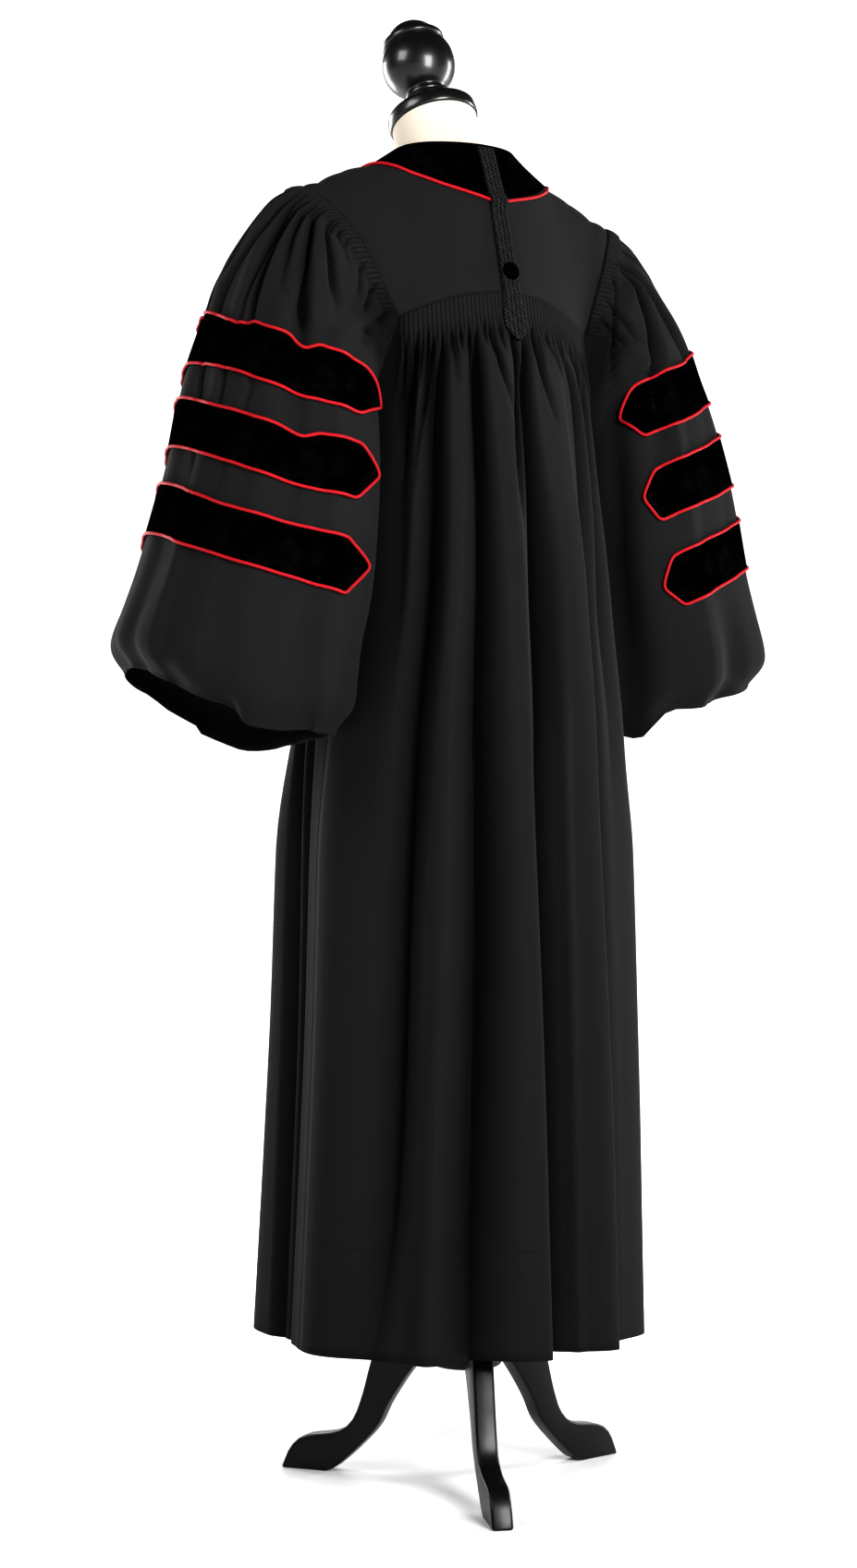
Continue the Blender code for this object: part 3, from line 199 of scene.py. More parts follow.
def place(x: Array, y: Array, z: Array) -> Array:
    """Points from their coordinates."""
    return np.stack(np.broadcast_arrays(x, y, z), axis=-1).astype(float)


def pick(conditions: Sequence[Array], choices: Sequence[Array]) -> Array:
    """For each point the first choice whose condition holds, else the last choice.

    Args:
        conditions: In order.
        choices: One more than the conditions.

    Returns:
        The chosen points.
    """
    result = choices[-1]
    for condition, choice in reversed(list(zip(conditions, choices))):
        result = np.where(column(condition), choice, result)
    return result


def with_sign(angle: Array, points: Array) -> Array:
    """Points put on the side of the body that the angle's sign asks for."""
    x = np.where(np.asarray(angle) < 0.0, -points[..., 0], points[..., 0])
    return place(x, points[..., 1], points[..., 2])


# -------- the cloth's own surfaces


class ClothSurface:
    """A surface over two values, with creases that rise from it."""

    steps: tuple[float, float] = (0.01, 0.01)
    outward: float = 1.0

    def base(self, s: Array, t: Array) -> Array:
        """The plain surface, without its creases."""
        raise NotImplementedError

    def rise(self, s: Array, t: Array) -> Array:
        """How far the creases lift the cloth from its plain surface."""
        return np.zeros(np.broadcast(s, t).shape)

    def normal(self, surface: Callable[[Array, Array], Array], s: Array, t: Array) -> Array:
        """Outward normals of one of this piece's surfaces.

        Args:
            surface: One of its surfaces.
            s, t: Place across and down.

        Returns:
            The normals.
        """
        ds, dt = self.steps
        low, high = np.maximum(t - dt, 0.0), np.minimum(t + dt, 1.0)
        across = surface(s + ds, t) - surface(s - ds, t)
        down = surface(s, high) - surface(s, low)
        return unit(np.cross(across, down)) * self.outward

    def painted_shade(self, s: Array, t: Array) -> Array:
        """How much painted shade each place gets in folds and gathers, from 0 to 1."""
        return np.zeros(np.broadcast(s, t).shape)

    def guide(self, s: Array, t: Array) -> Array:
        """An even form of the surface that the creases rise square from."""
        return self.base(s, t)

    def at(self, s: Array, t: Array) -> Array:
        """The creased surface."""
        return self.base(s, t) + self.normal(self.guide, s, t) * column(self.rise(s, t))

    def bridge(self, s: Array, t: Array, lift: Array, span: float = 0.012) -> Array:
        """Points at a distance over the surface that pass straight over its narrow creases.

        Args:
            s, t: Place across and down.
            lift: The distance.
            span: Half the width of a crease it passes over.

        Returns:
            The points.
        """
        near = [self.rise(s + step * span, t) for step in (-1.0, -0.66, -0.33, 0.0, 0.33, 0.66, 1.0)]
        rise = np.maximum(near[3], sum(near) / len(near))
        return self.base(s, t) + self.normal(self.guide, s, t) * column(rise + lift)


@dataclass(frozen=True)
class Crease:
    """A soft ridge, or a trough where its rise is under 0, along a bent line of a cloth.

    Each row gives the place down the cloth, the place across it, how far the crease reaches to
    either side, and its rise. A sharp crease is a slot between two round folds.
    """

    rows: Rows
    sharp: bool = True

    def reach(self, across: Array, down: Array, period: float) -> tuple[Array, Array]:
        """How far off the crease's line places lie, from 0 to 1, and its rise there.

        Args:
            across, down: Place on the cloth.
            period: Where the cloth meets itself.

        Returns:
            Both values.
        """
        values = along(self.rows, down)
        middle, reach_up, reach_down, rise = (values[..., index] for index in range(4))
        away = wrapped(across - middle, period)
        return bounded(away / np.where(away > 0.0, reach_up, -reach_down)), rise

    def rise(self, across: Array, down: Array, period: float) -> Array:
        """The crease's rise at places of the cloth.

        Args:
            across, down: Place on the cloth.
            period: Where the cloth meets itself.

        Returns:
            The rise.
        """
        away, rise = self.reach(across, down, period)
        profile = np.cos(away * math.pi / 2.0) ** 2
        if self.sharp:
            profile = 0.5 * profile + 0.5 - 0.5 * np.sqrt(1.0 - (1.0 - away) ** 2 * 0.9985)
        return rise * profile

    def shade(self, across: Array, down: Array, period: float) -> Array:
        """How much cloth a trough hides from the light, as a depth."""
        away, rise = self.reach(across, down, period)
        return np.maximum(-rise, 0.0) * (1.0 - away) ** 2 * self.sharp


def crease_set(*tables: Rows, across: float = 1.0, sharp: bool = True) -> tuple[Crease, ...]:
    """Creases from their tables.

    Args:
        tables: Rows in thousandths of the drop, parts across the cloth and millimetres of rise.
        across: How many of the parts across the cloth make one degree or turn.
        sharp: Whether they are slots between round folds.

    Returns:
        The creases.
    """
    scale = np.array((PARTS, across, across, across, PARTS))
    return tuple(Crease(np.array(table) / scale, sharp) for table in tables)


def creased(creases: Sequence[Crease], across: Array, down: Array, period: float) -> Array:
    """The rise of all of a cloth's creases together."""
    return sum(crease.rise(across, down, period) for crease in creases)


def shaded(creases: Sequence[Crease], across: Array, down: Array, period: float) -> Array:
    """The shade of all of a cloth's creases together."""
    return sum(crease.shade(across, down, period) for crease in creases)


def cords(number: Array) -> Array:
    """The pattern of a row of cords, 0 between two of them and 1 on top."""
    return np.abs(np.sin(number * math.pi)) ** 0.55


ARMHOLE: Rows = (
    # turn, x, y, z
    (0.0, 0.212, -0.015, 1.461),
    (0.13, 0.177, 0.03, 1.415),
    (0.25, 0.1358, 0.05, 1.3295),
    (0.27, 0.13, 0.052, 1.316),
    (0.29, 0.132, 0.0465, 1.3),
    (0.39, 0.145, 0.026, 1.24),
    (0.5, 0.15, -0.008, 1.2),
    (0.61, 0.149, -0.044, 1.245),
    (0.73, 0.153, -0.07, 1.33),
    (0.8, 0.166, -0.078, 1.38),
    (0.9, 0.19, -0.058, 1.43),
)


def armhole(turn: Array) -> Array:
    """A point of the left armhole seam."""
    return around(ARMHOLE, turn)


def arch(share: Array) -> Array:
    """A point of the arched back seam, share 0 at centre back and 1 at its corner."""
    fall = 0.035 * share**2
    return place(0.13 * share, ARCH_Y - fall, ARCH_HEIGHT - fall)


def chest(share: Array) -> Array:
    """A point of the line across the front, share 0 at centre front."""
    return place(0.166 * share, -0.15 + 0.068 * share**2, 1.35 + 0.03 * share**2)


@dataclass
class Shoulders(ClothSurface):
    """The surface over neck and shoulders: fan 0 at centre back, share 0 at the neck."""

    steps: tuple[float, float] = (1.0, 0.02)
    neck_y: float = -0.04
    neck_half_width: float = 0.078
    neck_depths: tuple[float, float] = (0.072, 0.078)
    neck_height: float = 1.527
    neck_drop: float = 0.072
    collar_half_width: float = 0.12
    collar_depths: tuple[float, float] = (0.098, 0.105)
    collar_share: float = 0.3
    corner_fan: float = 50.0
    chest_fan: float = 125.0
    collar_heights: Rows = (
        (0, 1.46), (30, 1.475), (45, 1.4856), (60, 1.4955), (75, 1.498), (90, 1.491), (135, 1.45),
        (180, 1.41),
    )
    swell: Rows = (
        (0, 0), (25, 0.006), (50, 0.012), (70, 0.016), (90, 0.015), (110, 0.012), (125, 0.008), (180, 0.006))

    def depth(self, fan: Array, depths: tuple[float, float]) -> Array:
        """How deep the neck's oval is, behind or in front."""
        return np.where(np.abs(fan) < 90.0, depths[0], depths[1])

    def neck(self, fan: Array) -> Array:
        """A point of the collar's top edge.

        Args:
            fan: Degrees round the neck.

        Returns:
            The points.
        """
        angle = np.radians(fan)
        drop = self.neck_drop * ((1.0 - np.cos(angle)) / 2.0) ** 3.3
        y = self.neck_y + self.depth(fan, self.neck_depths) * np.cos(angle)
        return place(self.neck_half_width * np.sin(angle), y, self.neck_height - drop)

    def collar(self, fan: Array) -> Array:
        """A point of the collar's outer edge.

        Args:
            fan: Degrees round the neck.

        Returns:
            The points.
        """
        angle = np.radians(fan)
        height = along(self.collar_heights, np.abs(fan))[..., 0]
        y = self.neck_y + self.depth(fan, self.collar_depths) * np.cos(angle)
        return place(self.collar_half_width * np.sin(angle), y, height)

    def edge(self, fan: Array) -> Array:
        """A point where the shoulders end: arch, armhole or chest line.

        Args:
            fan: Degrees round the neck.

        Returns:
            The points.
        """
        size, corner, chest_from = np.abs(fan), self.corner_fan, self.chest_fan
        behind = armhole(lerp(BACK_CORNER, 0.0, bounded((size - corner) / (90.0 - corner))))
        before = armhole(lerp(1.0, FRONT_CORNER, bounded((size - 90.0) / (chest_from - 90.0))))
        front = chest((180.0 - size) / (180.0 - chest_from))
        choices = (arch(size / corner), behind, before, front)
        return with_sign(fan, pick((size <= corner, size <= 90.0, size <= chest_from), choices))

    def spread(self, fan: Array, part: Array) -> Array:
        """The straight way from the collar's edge to the outer seam, evened out between its rays.

        Args:
            fan: Degrees round the neck.
            part: Share of the way from collar to edge.

        Returns:
            The points.
        """
        reach = 17.0 * bounded(part * 3.0) * bounded((1.0 - part) * 3.5)
        reach = np.minimum(reach, 180.0 - np.abs(fan))
        total = 0.0
        for step, weight in zip(np.linspace(-1.0, 1.0, 7), (0.06, 0.14, 0.19, 0.22, 0.19, 0.14, 0.06)):
            near = fan + step * reach
            total = total + lerp(self.collar(near), self.edge(near), column(part)) * weight
        return total

    def base(self, s: Array, t: Array) -> Array:
        """The outer face at a fan angle and share.

        Args:
            s, t: Place across and down.

        Returns:
            The points.
        """
        s, t = np.broadcast_arrays(s, t)
        collar = self.collar(s)
        upper = lerp(self.neck(s), collar, column(t / self.collar_share))
        part = bounded((t - self.collar_share) / (1.0 - self.collar_share))
        lower = self.spread(s, part)
        swell = along(self.swell, np.abs(s))[..., 0] * 4.0 * part * (1.0 - part)
        level = unit(place(lower[..., 0], lower[..., 1] - self.neck_y, 0.0))
        outward = unit(level + np.array((0.0, 0.0, 1.0)))
        return pick((t <= self.collar_share,), (upper, lower + outward * column(swell)))


SKIRT: Rows = (
    # height, half width, back, front, power
    (0.17, 0.197, 0.16, -0.252, 2.6),
    (0.5, 0.186, 0.158, -0.22, 2.6),
    (0.85, 0.174, 0.148, -0.194, 2.6),
    (1.0, 0.153, 0.134, -0.165, 2.6),
    (1.12, 0.15, 0.122, -0.158, 2.4),
)
SKIRT_FOLDS: Rows = (
    # angle above, angle at the hem, width to the left and to the right, rise above, rise at the hem
    (10, 4, 15, 5, 0.012, 0.024),
    (-21, -20, 17, 5.5, 0.012, 0.026),
    (-49, -46, 16, 8, 0.012, 0.016),
    (36, 38, 12, 12, 0.01, 0.014),
    (82, 77, 20, 24, 0.012, 0.018),
    (128, 124, 16, 14, 0.015, 0.006),
    (155, 152, 12, 12, 0.01, 0.018),
    (-78, -72, 13, 14, 0.01, 0.022),
    (-104, -101, 12, 10, 0.012, 0.02),
    (-130, -127, 11, 12, 0.012, 0.02),
    (-156, -153, 12, 12, 0.01, 0.018),
)


# thousandths of the drop, degrees: the line, its reach to the left and to the right; rise in mm
GATHERS: tuple[Crease, ...] = crease_set(
    ((30, 51.5, 3, 4, 0), (50, 52, 4, 5, -15), (100, 55, 5, 6, -18), (200, 58, 5, 7, 0)),
    ((30, 47.5, 2, 2, 0), (45, 47.8, 3, 3, -9), (70, 48.8, 3, 3, -6), (90, 49.5, 3, 3, 0)),
    ((30, 42, 2, 3, 0), (50, 43, 4, 3, -15), (100, 47, 4, 4, -14), (150, 51, 5, 5, -6),
     (200, 53, 5, 5, 0)),
    ((30, 38.2, 2, 2, 0), (48, 38.6, 3, 5, -14), (75, 41, 4, 6, -24), (140, 44, 6, 8, -28),
     (230, 46, 8, 9, -28), (340, 48.3, 10, 9, -26), (600, 51.2, 13, 8, -26), (850, 52.5, 15, 8, -20),
     (1000, 58, 14, 9, -4)),
    ((28, 33.8, 2, 2, 0), (42, 33.9, 3, 3, -10), (62, 33.2, 3, 3, -7), (100, 33, 3, 3, 0)),
    ((28, 29.6, 2, 2, 0), (40, 29.7, 2, 2, -8), (58, 29.9, 2, 2, 0)),
    ((28, 25.4, 2, 2, 0), (48, 25.5, 3, 3, -13), (75, 26.2, 3, 3, -8), (100, 27.2, 3, 3, 0)),
    ((30, 21.8, 2, 2, 0), (50, 22.2, 3, 4, -14), (75, 23.6, 5, 6, -25), (120, 24.1, 7, 7, -30),
     (250, 25.5, 9, 9, -32), (360, 26.3, 11, 11, -34), (550, 25.8, 12, 12, -34), (840, 27.2, 12, 12, -30),
     (1000, 27, 12, 12, -22)),
    ((26, 17.6, 2, 2, 0), (38, 17.6, 2, 2, -8), (55, 17.8, 2, 2, 0)),
    ((26, 14.4, 2, 2, 0), (45, 14, 3, 3, -13), (74, 11.6, 3, 3, -11), (100, 9, 3, 3, -5),
     (130, 7, 3, 3, 0)),
    ((26, 9.6, 2, 2, 0), (40, 9.3, 2, 2, -9), (60, 8.4, 2, 2, 0)),
    ((28, 2.6, 2, 2, 0), (50, 2.4, 3, 3, -14), (90, 3.1, 3, 3, -15), (160, 6.2, 4, 3, -13),
     (240, 8, 4, 2, 0)),
    ((30, -4.4, 2, 2, 0), (55, -4, 4, 3, -15), (90, -1.6, 4, 5, -26), (150, -0.8, 5, 7, -31),
     (260, -1.2, 8, 11, -36), (360, 0.2, 7, 12, -40), (470, 3.8, 6, 13, -42), (700, 4.3, 5, 13, -42),
     (880, 3.8, 5, 12, -38), (1000, 4, 5, 12, -34)),
    ((28, -10.2, 2, 2, 0), (45, -10.6, 3, 3, -14), (70, -11.4, 3, 3, -13), (100, -14.2, 3, 3, -6),
     (130, -16.4, 3, 3, 0)),
    ((30, -18, 2, 2, 0), (45, -19.6, 2, 2, -9), (62, -23.2, 2, 2, -6), (80, -25, 2, 2, 0)),
    ((30, -27.6, 2, 2, 0), (50, -29, 3, 4, -14), (90, -33, 4, 6, -18), (170, -31, 4, 8, -21),
     (290, -25.5, 4, 10, -21), (490, -23.5, 4, 11, -20), (700, -24.5, 4, 11, -18),
     (1000, -26.5, 4, 10, -14)),
    ((30, -37.6, 2, 2, 0), (45, -38.6, 3, 3, -12), (65, -39.4, 3, 4, -17), (110, -42.6, 4, 5, -18),
     (210, -41.5, 5, 6, -15), (320, -38, 6, 7, -10), (500, -36, 6, 7, 0)),
    ((30, -47, 2, 2, 0), (50, -48, 3, 3, -10), (90, -51, 4, 4, -12), (200, -53, 5, 5, 0)),
)
# the bunched ends of the seam: where each crease lies and how far down it goes
BUNCHED: Rows = ((44.8, 120), (49.8, 150), (54.6, 130), (-42.6, 120), (-50.4, 140), (-54.2, 110))
BUNCHES: tuple[Crease, ...] = crease_set(
    *(((22, at, 1.2, 1.2, 0), (42, at * 1.01, 1.8, 1.8, -10), (75, at * 1.04, 2, 2, -9),
       (end, at * 1.08, 2.4, 2.4, 0)) for at, end in BUNCHED)
)
# soft ridges of the broad panels
PANELS: tuple[Crease, ...] = crease_set(
    ((340, 36, 9, 7, 0), (500, 36.5, 9, 7, 4), (850, 39, 9, 8, 4), (1000, 40, 9, 8, 3)),
    ((240, -10, 3, 4, 0), (450, -8, 3, 4, 4), (800, -7.5, 3, 4, 5), (1000, -7.5, 3, 4, 4)),
    sharp=False,
)
BACK_CREASES = GATHERS + BUNCHES + PANELS
# the folds' edges in front
FRONT_CREASES: tuple[Crease, ...] = crease_set(
    ((220, 102.5, 4, 3, 0), (420, 102, 7, 3, -12), (600, 102.6, 9, 3, -20), (1000, 102.4, 9, 3, -18)),
    ((140, 112, 4, 4, 0), (320, 113, 6, 6, -14), (650, 113, 6, 7, -18), (1000, 110, 6, 6, -14)),
    ((60, 132, 3, 4, 0), (260, 139, 5, 5, -12), (650, 141, 6, 6, -16), (1000, 138, 6, 6, -12)),
    ((100, 158, 4, 4, 0), (350, 166, 5, 5, -9), (700, 168, 5, 5, -14), (1000, 167, 5, 5, -9)),
    ((120, -98, 4, 4, 0), (260, -92, 5, 5, -14), (620, -90, 6, 6, -18), (1000, -88, 6, 6, -12)),
    ((100, -116, 4, 4, 0), (300, -117, 6, 6, -14), (600, -117, 7, 6, -18), (1000, -114, 6, 6, -14)),
    ((80, -134, 4, 3, 0), (300, -142, 5, 5, -12), (620, -143, 6, 6, -16), (1000, -140, 6, 6, -12)),
    ((120, -160, 4, 4, 0), (400, -167, 5, 5, -12), (720, -168, 5, 5, -14), (1000, -166, 5, 5, -9)),
)


@dataclass
class Body(ClothSurface):
    """Back and fronts: angle 0 at centre back, drop 0 at the top and 1 at the hem."""

    steps: tuple[float, float] = (0.4, 0.004)
    hem_height: float = 0.17
    tube_height: float = 1.12
    tube_drop: float = 0.2
    ribs: int = 54
    corner_angle: float = 58.0
    chest_angle: float = 118.0
    folds_from: float = 1.0
    folds_over: float = 0.83

    def top(self, angle: Array) -> Array:
        """Where the hanging cloth begins.

        Args:
            angle: Degrees round the body.

        Returns:
            The points.
        """
        size, corner, chest_from = np.abs(angle), self.corner_angle, self.chest_angle
        under = armhole(lerp(BACK_CORNER, UNDER_ARM, bounded((size - corner) / (90.0 - corner))))
        share = bounded((size - 90.0) / (chest_from - 90.0))
        before = armhole(lerp(UNDER_ARM, FRONT_CORNER, share))
        choices = (arch(size / corner), under, before, chest((180.0 - size) / (180.0 - chest_from)))
        return with_sign(angle, pick((size <= corner, size <= 90.0, size <= chest_from), choices))

    def rib_number(self, angle: Array) -> Array:
        """How many cords lie between centre back and an angle."""
        return angle / self.corner_angle * self.ribs / 2.0

    def fold_share(self, height: Array) -> Array:
        """How far down the folds a height lies, 1 at the hem."""
        return bounded((self.folds_from - height) / self.folds_over)

    def fold_shift(self, angle: Array, height: Array) -> Array:
        """How far the cloth has wandered round the body with the nearest folds.

        Args:
            angle, height: Degrees round the body, height over the floor.

        Returns:
            Degrees.
        """
        share = self.fold_share(height)
        drifts = sorted((row[0], row[1] - row[0]) for row in SKIRT_FOLDS)
        keys, values = zip(*drifts)
        return np.interp(angle, keys, values, period=360.0) * share

    def fold_rise(self, angle: Array, height: Array) -> Array:
        """How far the large folds lift the cloth.

        Args:
            angle, height: Degrees round the body, height over the floor.

        Returns:
            The rise.
        """
        share = self.fold_share(height)
        total = np.zeros(np.broadcast(angle, height).shape)
        for above, _, left, right, rise_above, rise_hem in SKIRT_FOLDS:
            away = wrapped(angle - above, 360.0)
            width = np.where(away > 0.0, left, right)
            wave = np.cos(np.clip(away / width, -1.0, 1.0) * math.pi / 2.0) ** 2
            total = total + lerp(rise_above, rise_hem, share) * wave
        start = smooth(1.26, 1.0, height)
        side = smooth(40.0, 54.0, np.abs(angle)) * (1.0 - smooth(140.0, 154.0, np.abs(angle)))
        return total * lerp(start, smooth(0.9, 0.72, height), side)

    def skirt(self, angle: Array, height: Array, folds: float = 1.0) -> Array:
        """The hanging cloth at an angle and height, with or without its large folds.

        Args:
            angle, height: Degrees round the body, height over the floor.
            folds: 1 with its large folds.

        Returns:
            The points.
        """
        values = along(SKIRT, height)
        half_width, back, front, power = (values[..., index] for index in range(4))
        turned = np.radians(angle + self.fold_shift(angle, height))
        radius = oval_radius(turned, half_width, (back - front) / 2.0, power)
        radius = radius + self.fold_rise(angle, height) * folds
        return place(radius * np.sin(turned), (back + front) / 2.0 + radius * np.cos(turned), height)

    def base(self, s: Array, t: Array, folds: float = 1.0) -> Array:
        """The outer face at an angle and drop.

        Args:
            s, t: Place across and down.
            folds: 1 with its large folds.

        Returns:
            The points.
        """
        s, t = np.broadcast_arrays(s, t)
        share = bounded((t - self.tube_drop) / (1.0 - self.tube_drop))
        hanging = self.skirt(s, lerp(self.tube_height, self.hem_height, share), folds)
        upper = lerp(self.top(s), hanging, column(bounded(t / self.tube_drop)))
        return pick((t >= self.tube_drop,), (hanging, upper))

    def guide(self, s: Array, t: Array) -> Array:
        """The outer face without its large folds."""
        return self.base(s, t, 0.0)

    def flutes(self, angle: Array, drop: Array) -> Array:
        """The cords of cloth under the arched seam, each running out into the gathers.

        Args:
            angle: Place round the body.
            drop: Place down.

        Returns:
            The rise.
        """
        number = np.floor(self.rib_number(angle))
        end = 0.044 + 0.007 * np.sin(number * 2.4) + 0.006 * np.sin(number * 5.3 + 1.0)
        height = lerp(0.0019, 0.0034, smooth(0.02, 0.032, drop))
        height = height * (1.0 - smooth(end * 0.8, end * 1.45, drop))
        edge = 1.0 - smooth(self.corner_angle - 1.0, self.corner_angle, np.abs(angle))
        return height * cords(self.rib_number(angle)) * edge

    def painted_shade(self, s: Array, t: Array) -> Array:
        """The painted shade between cords, in gathers, in deep folds and along the armholes next to the
        arched seam's ends.

        Args:
            s, t: Place across and down.

        Returns:
            The painted shade, from 0 to 1.
        """
        angle, drop = np.broadcast_arrays(s, t)
        depth = shaded(BACK_CREASES, angle, drop, 360.0) + shaded(FRONT_CREASES, angle, drop, 360.0)
        between = (1.0 - cords(self.rib_number(angle))) ** 3 * (np.abs(angle) < self.corner_angle)
        between = between * (1.0 - smooth(0.03, 0.055, drop)) * 0.75
        # painted shade along the armholes next to the arched seam's ends
        corner = 0.6 * smooth(51.0, 58.0, np.abs(angle)) * (1.0 - smooth(75.0, 89.0, np.abs(angle)))
        corner = corner * (1.0 - smooth(0.07, 0.26, drop))
        return bounded(depth / lerp(0.009, 0.024, smooth(0.06, 0.26, drop)) + between + corner)

    def rise(self, s: Array, t: Array) -> Array:
        """Flutes, gathers and the folds' creases.

        Args:
            s, t: Place across and down.

        Returns:
            The rise.
        """
        angle, drop = np.broadcast_arrays(s, t)
        behind = 1.0 - smooth(52.0, 60.0, np.abs(angle))
        puff = 0.0085 * smooth(0.028, 0.07, drop) * (1.0 - smooth(0.2, 0.5, drop)) * behind
        folds = creased(BACK_CREASES, angle, drop, 360.0) + creased(FRONT_CREASES, angle, drop, 360.0)
        return self.flutes(angle, drop) + puff + folds


SLEEVE_SECTIONS: Rows = (
    # height, outer x, inner x, back y, front y, power of the inner side
    (0.82, 0.368, 0.182, 0.096, -0.174, 2.6),
    (0.9, 0.4, 0.176, 0.108, -0.182, 2.6),
    (0.95, 0.405, 0.17, 0.112, -0.18, 2.7),
    (1.0, 0.392, 0.1655, 0.112, -0.172, 3.2),
    (1.05, 0.377, 0.162, 0.108, -0.162, 3.6),
    (1.15, 0.355, 0.157, 0.1, -0.136, 4.0),
    (1.25, 0.332, 0.1545, 0.083, -0.128, 4.0),
    (1.35, 0.292, 0.15, 0.062, -0.12, 4.0),
)
SLEEVE_HEAD: Rows = (
    (0, 1.328), (0.1, 1.315), (0.15, 1.303), (0.2, 1.291), (0.3, 1.279), (0.35, 1.262), (0.42, 1.205),
    (0.5, 1.16), (0.58, 1.205), (0.66, 1.27), (0.75, 1.298), (0.9, 1.333),
)
SLEEVE_FOLDS: Rows = (
    # turn, half width, rise at the head, rise at the hem
    (0.05, 0.035, 0.003, 0.003),
    (0.16, 0.035, 0.006, 0.004),
    (0.27, 0.03, 0.005, 0.006),
    (-0.06, 0.04, 0.003, 0.003),
    (-0.17, 0.035, 0.006, 0.005),
    (-0.28, 0.03, 0.005, 0.006),
)
SLEEVE_HEMS: dict[Side, Rows] = {
    Side.LEFT: (
        (0.0, 0.918), (0.07, 0.898), (0.13, 0.88), (0.18, 0.857), (0.27, 0.853), (0.42, 0.85),
        (0.55, 0.842), (0.65, 0.837), (0.72, 0.86), (0.8, 0.9), (0.86, 0.924), (0.93, 0.926),
    ),
    Side.RIGHT: (
        (0.0, 0.93), (0.12, 0.926), (0.2, 0.902), (0.26, 0.889), (0.32, 0.882), (0.36, 0.853),
        (0.42, 0.858), (0.55, 0.842), (0.65, 0.84), (0.75, 0.87), (0.85, 0.915), (0.93, 0.928),
    ),
}


# thousandths of the drop and of a turn: the line, its reach to the back and to the front; rise in mm
LEFT_CREASES: tuple[Crease, ...] = crease_set(
    ((22, 12, 10, 10, 0), (80, -10, 14, 14, -11), (150, -45, 20, 20, -9), (260, -60, 20, 20, 0)),
    ((22, 32, 8, 8, 0), (80, 37, 12, 12, -12), (150, 30, 16, 16, -12), (250, -20, 20, 20, -6),
     (340, -30, 20, 20, 0)),
    ((22, 48, 6, 6, 0), (70, 53, 9, 9, -11), (130, 66, 12, 12, -14), (220, 72, 14, 14, -11),
     (360, 62, 16, 16, 0)),
    ((21, 62, 6, 6, 0), (70, 66, 8, 10, -14), (140, 79, 10, 14, -20), (220, 94, 12, 18, -19),
     (310, 99, 14, 22, -11), (420, 97, 16, 22, 0)),
    ((21, 76, 6, 6, 0), (68, 83, 9, 9, -12), (120, 100, 12, 12, -12), (180, 126, 16, 16, -8),
     (250, 150, 16, 16, 0)),
    ((20, 92, 6, 6, 0), (63, 100, 8, 10, -16), (105, 127, 10, 14, -22), (160, 157, 13, 18, -25),
     (240, 188, 16, 26, -25), (320, 204, 26, 36, -11), (430, 209, 28, 40, -6.5), (530, 210, 28, 40, -5),
     (680, 212, 26, 38, -3), (800, 212, 24, 34, 0)),
    ((19, 112, 6, 6, 0), (60, 128, 9, 8, -14), (100, 164, 12, 10, -17), (135, 190, 16, 14, -12),
     (180, 220, 20, 20, -3), (240, 240, 20, 20, 0)),
    ((19, 132, 6, 6, 0), (50, 147, 10, 8, -11), (62, 170, 12, 10, -6), (90, 200, 12, 12, 0)),
    ((18, 85, 4, 4, 0), (55, 90, 5, 5, -8), (80, 100, 5, 5, 0)),
    ((17, 120, 4, 4, 0), (48, 130, 5, 5, -8), (70, 146, 6, 6, 0)),
    ((17, 150, 4, 4, 0), (44, 160, 6, 6, -6), (60, 178, 6, 6, 0)),
    ((15, 258, 6, 6, 0), (60, 268, 12, 12, -11), (140, 290, 18, 18, -9), (260, 330, 20, 20, 0)),
    ((240, -36, 12, 14, 0), (345, -22, 12, 14, -7), (450, -7, 12, 14, -7), (550, 11, 14, 14, -4),
     (660, 20, 14, 14, 0)),
    ((280, 76, 10, 14, 0), (338, 71, 10, 14, -6), (480, 66, 12, 16, -6), (600, 58, 12, 16, 0)),
    ((380, 136, 10, 14, 0), (454, 125, 10, 14, -4), (567, 103, 12, 14, -4), (680, 88, 12, 14, 0)),
    ((12, 186, 4, 4, 0), (40, 196, 6, 6, -8), (75, 214, 8, 8, -7), (120, 232, 10, 10, 0)),
    ((12, 218, 4, 4, 0), (40, 226, 6, 6, -9), (80, 240, 8, 8, -8), (130, 256, 10, 10, 0)),
    # the front, in the same hand
    ((21, -35, 8, 8, 0), (75, -52, 12, 10, -14), (150, -82, 18, 14, -19), (270, -100, 22, 16, -11),
     (420, -105, 22, 18, 0)),
    ((20, -62, 6, 6, 0), (70, -82, 10, 8, -12), (120, -112, 14, 12, -12), (200, -140, 16, 16, 0)),
    ((20, -90, 6, 6, 0), (65, -110, 10, 8, -16), (120, -150, 16, 12, -22), (250, -195, 26, 16, -20),
     (420, -212, 30, 20, -11), (620, -215, 30, 20, 0)),
    ((18, -125, 6, 6, 0), (60, -145, 9, 8, -12), (110, -180, 12, 12, -12), (190, -230, 20, 20, 0)),
    ((17, -165, 6, 6, 0), (55, -180, 9, 8, -9), (100, -215, 12, 12, 0)),
    across=PARTS,
) + crease_set(
    # soft bends of the wide lower part
    ((580, 30, 30, 50, 0), (750, 34, 30, 60, 4), (950, 36, 30, 60, 5), (1000, 36, 30, 60, 4)),
    ((700, 150, 40, 40, 0), (850, 152, 40, 40, -6), (1000, 155, 40, 40, -8)),
    ((720, 250, 30, 30, 0), (860, 252, 30, 40, -5), (1000, 255, 30, 40, -9)),
    across=PARTS, sharp=False,
)
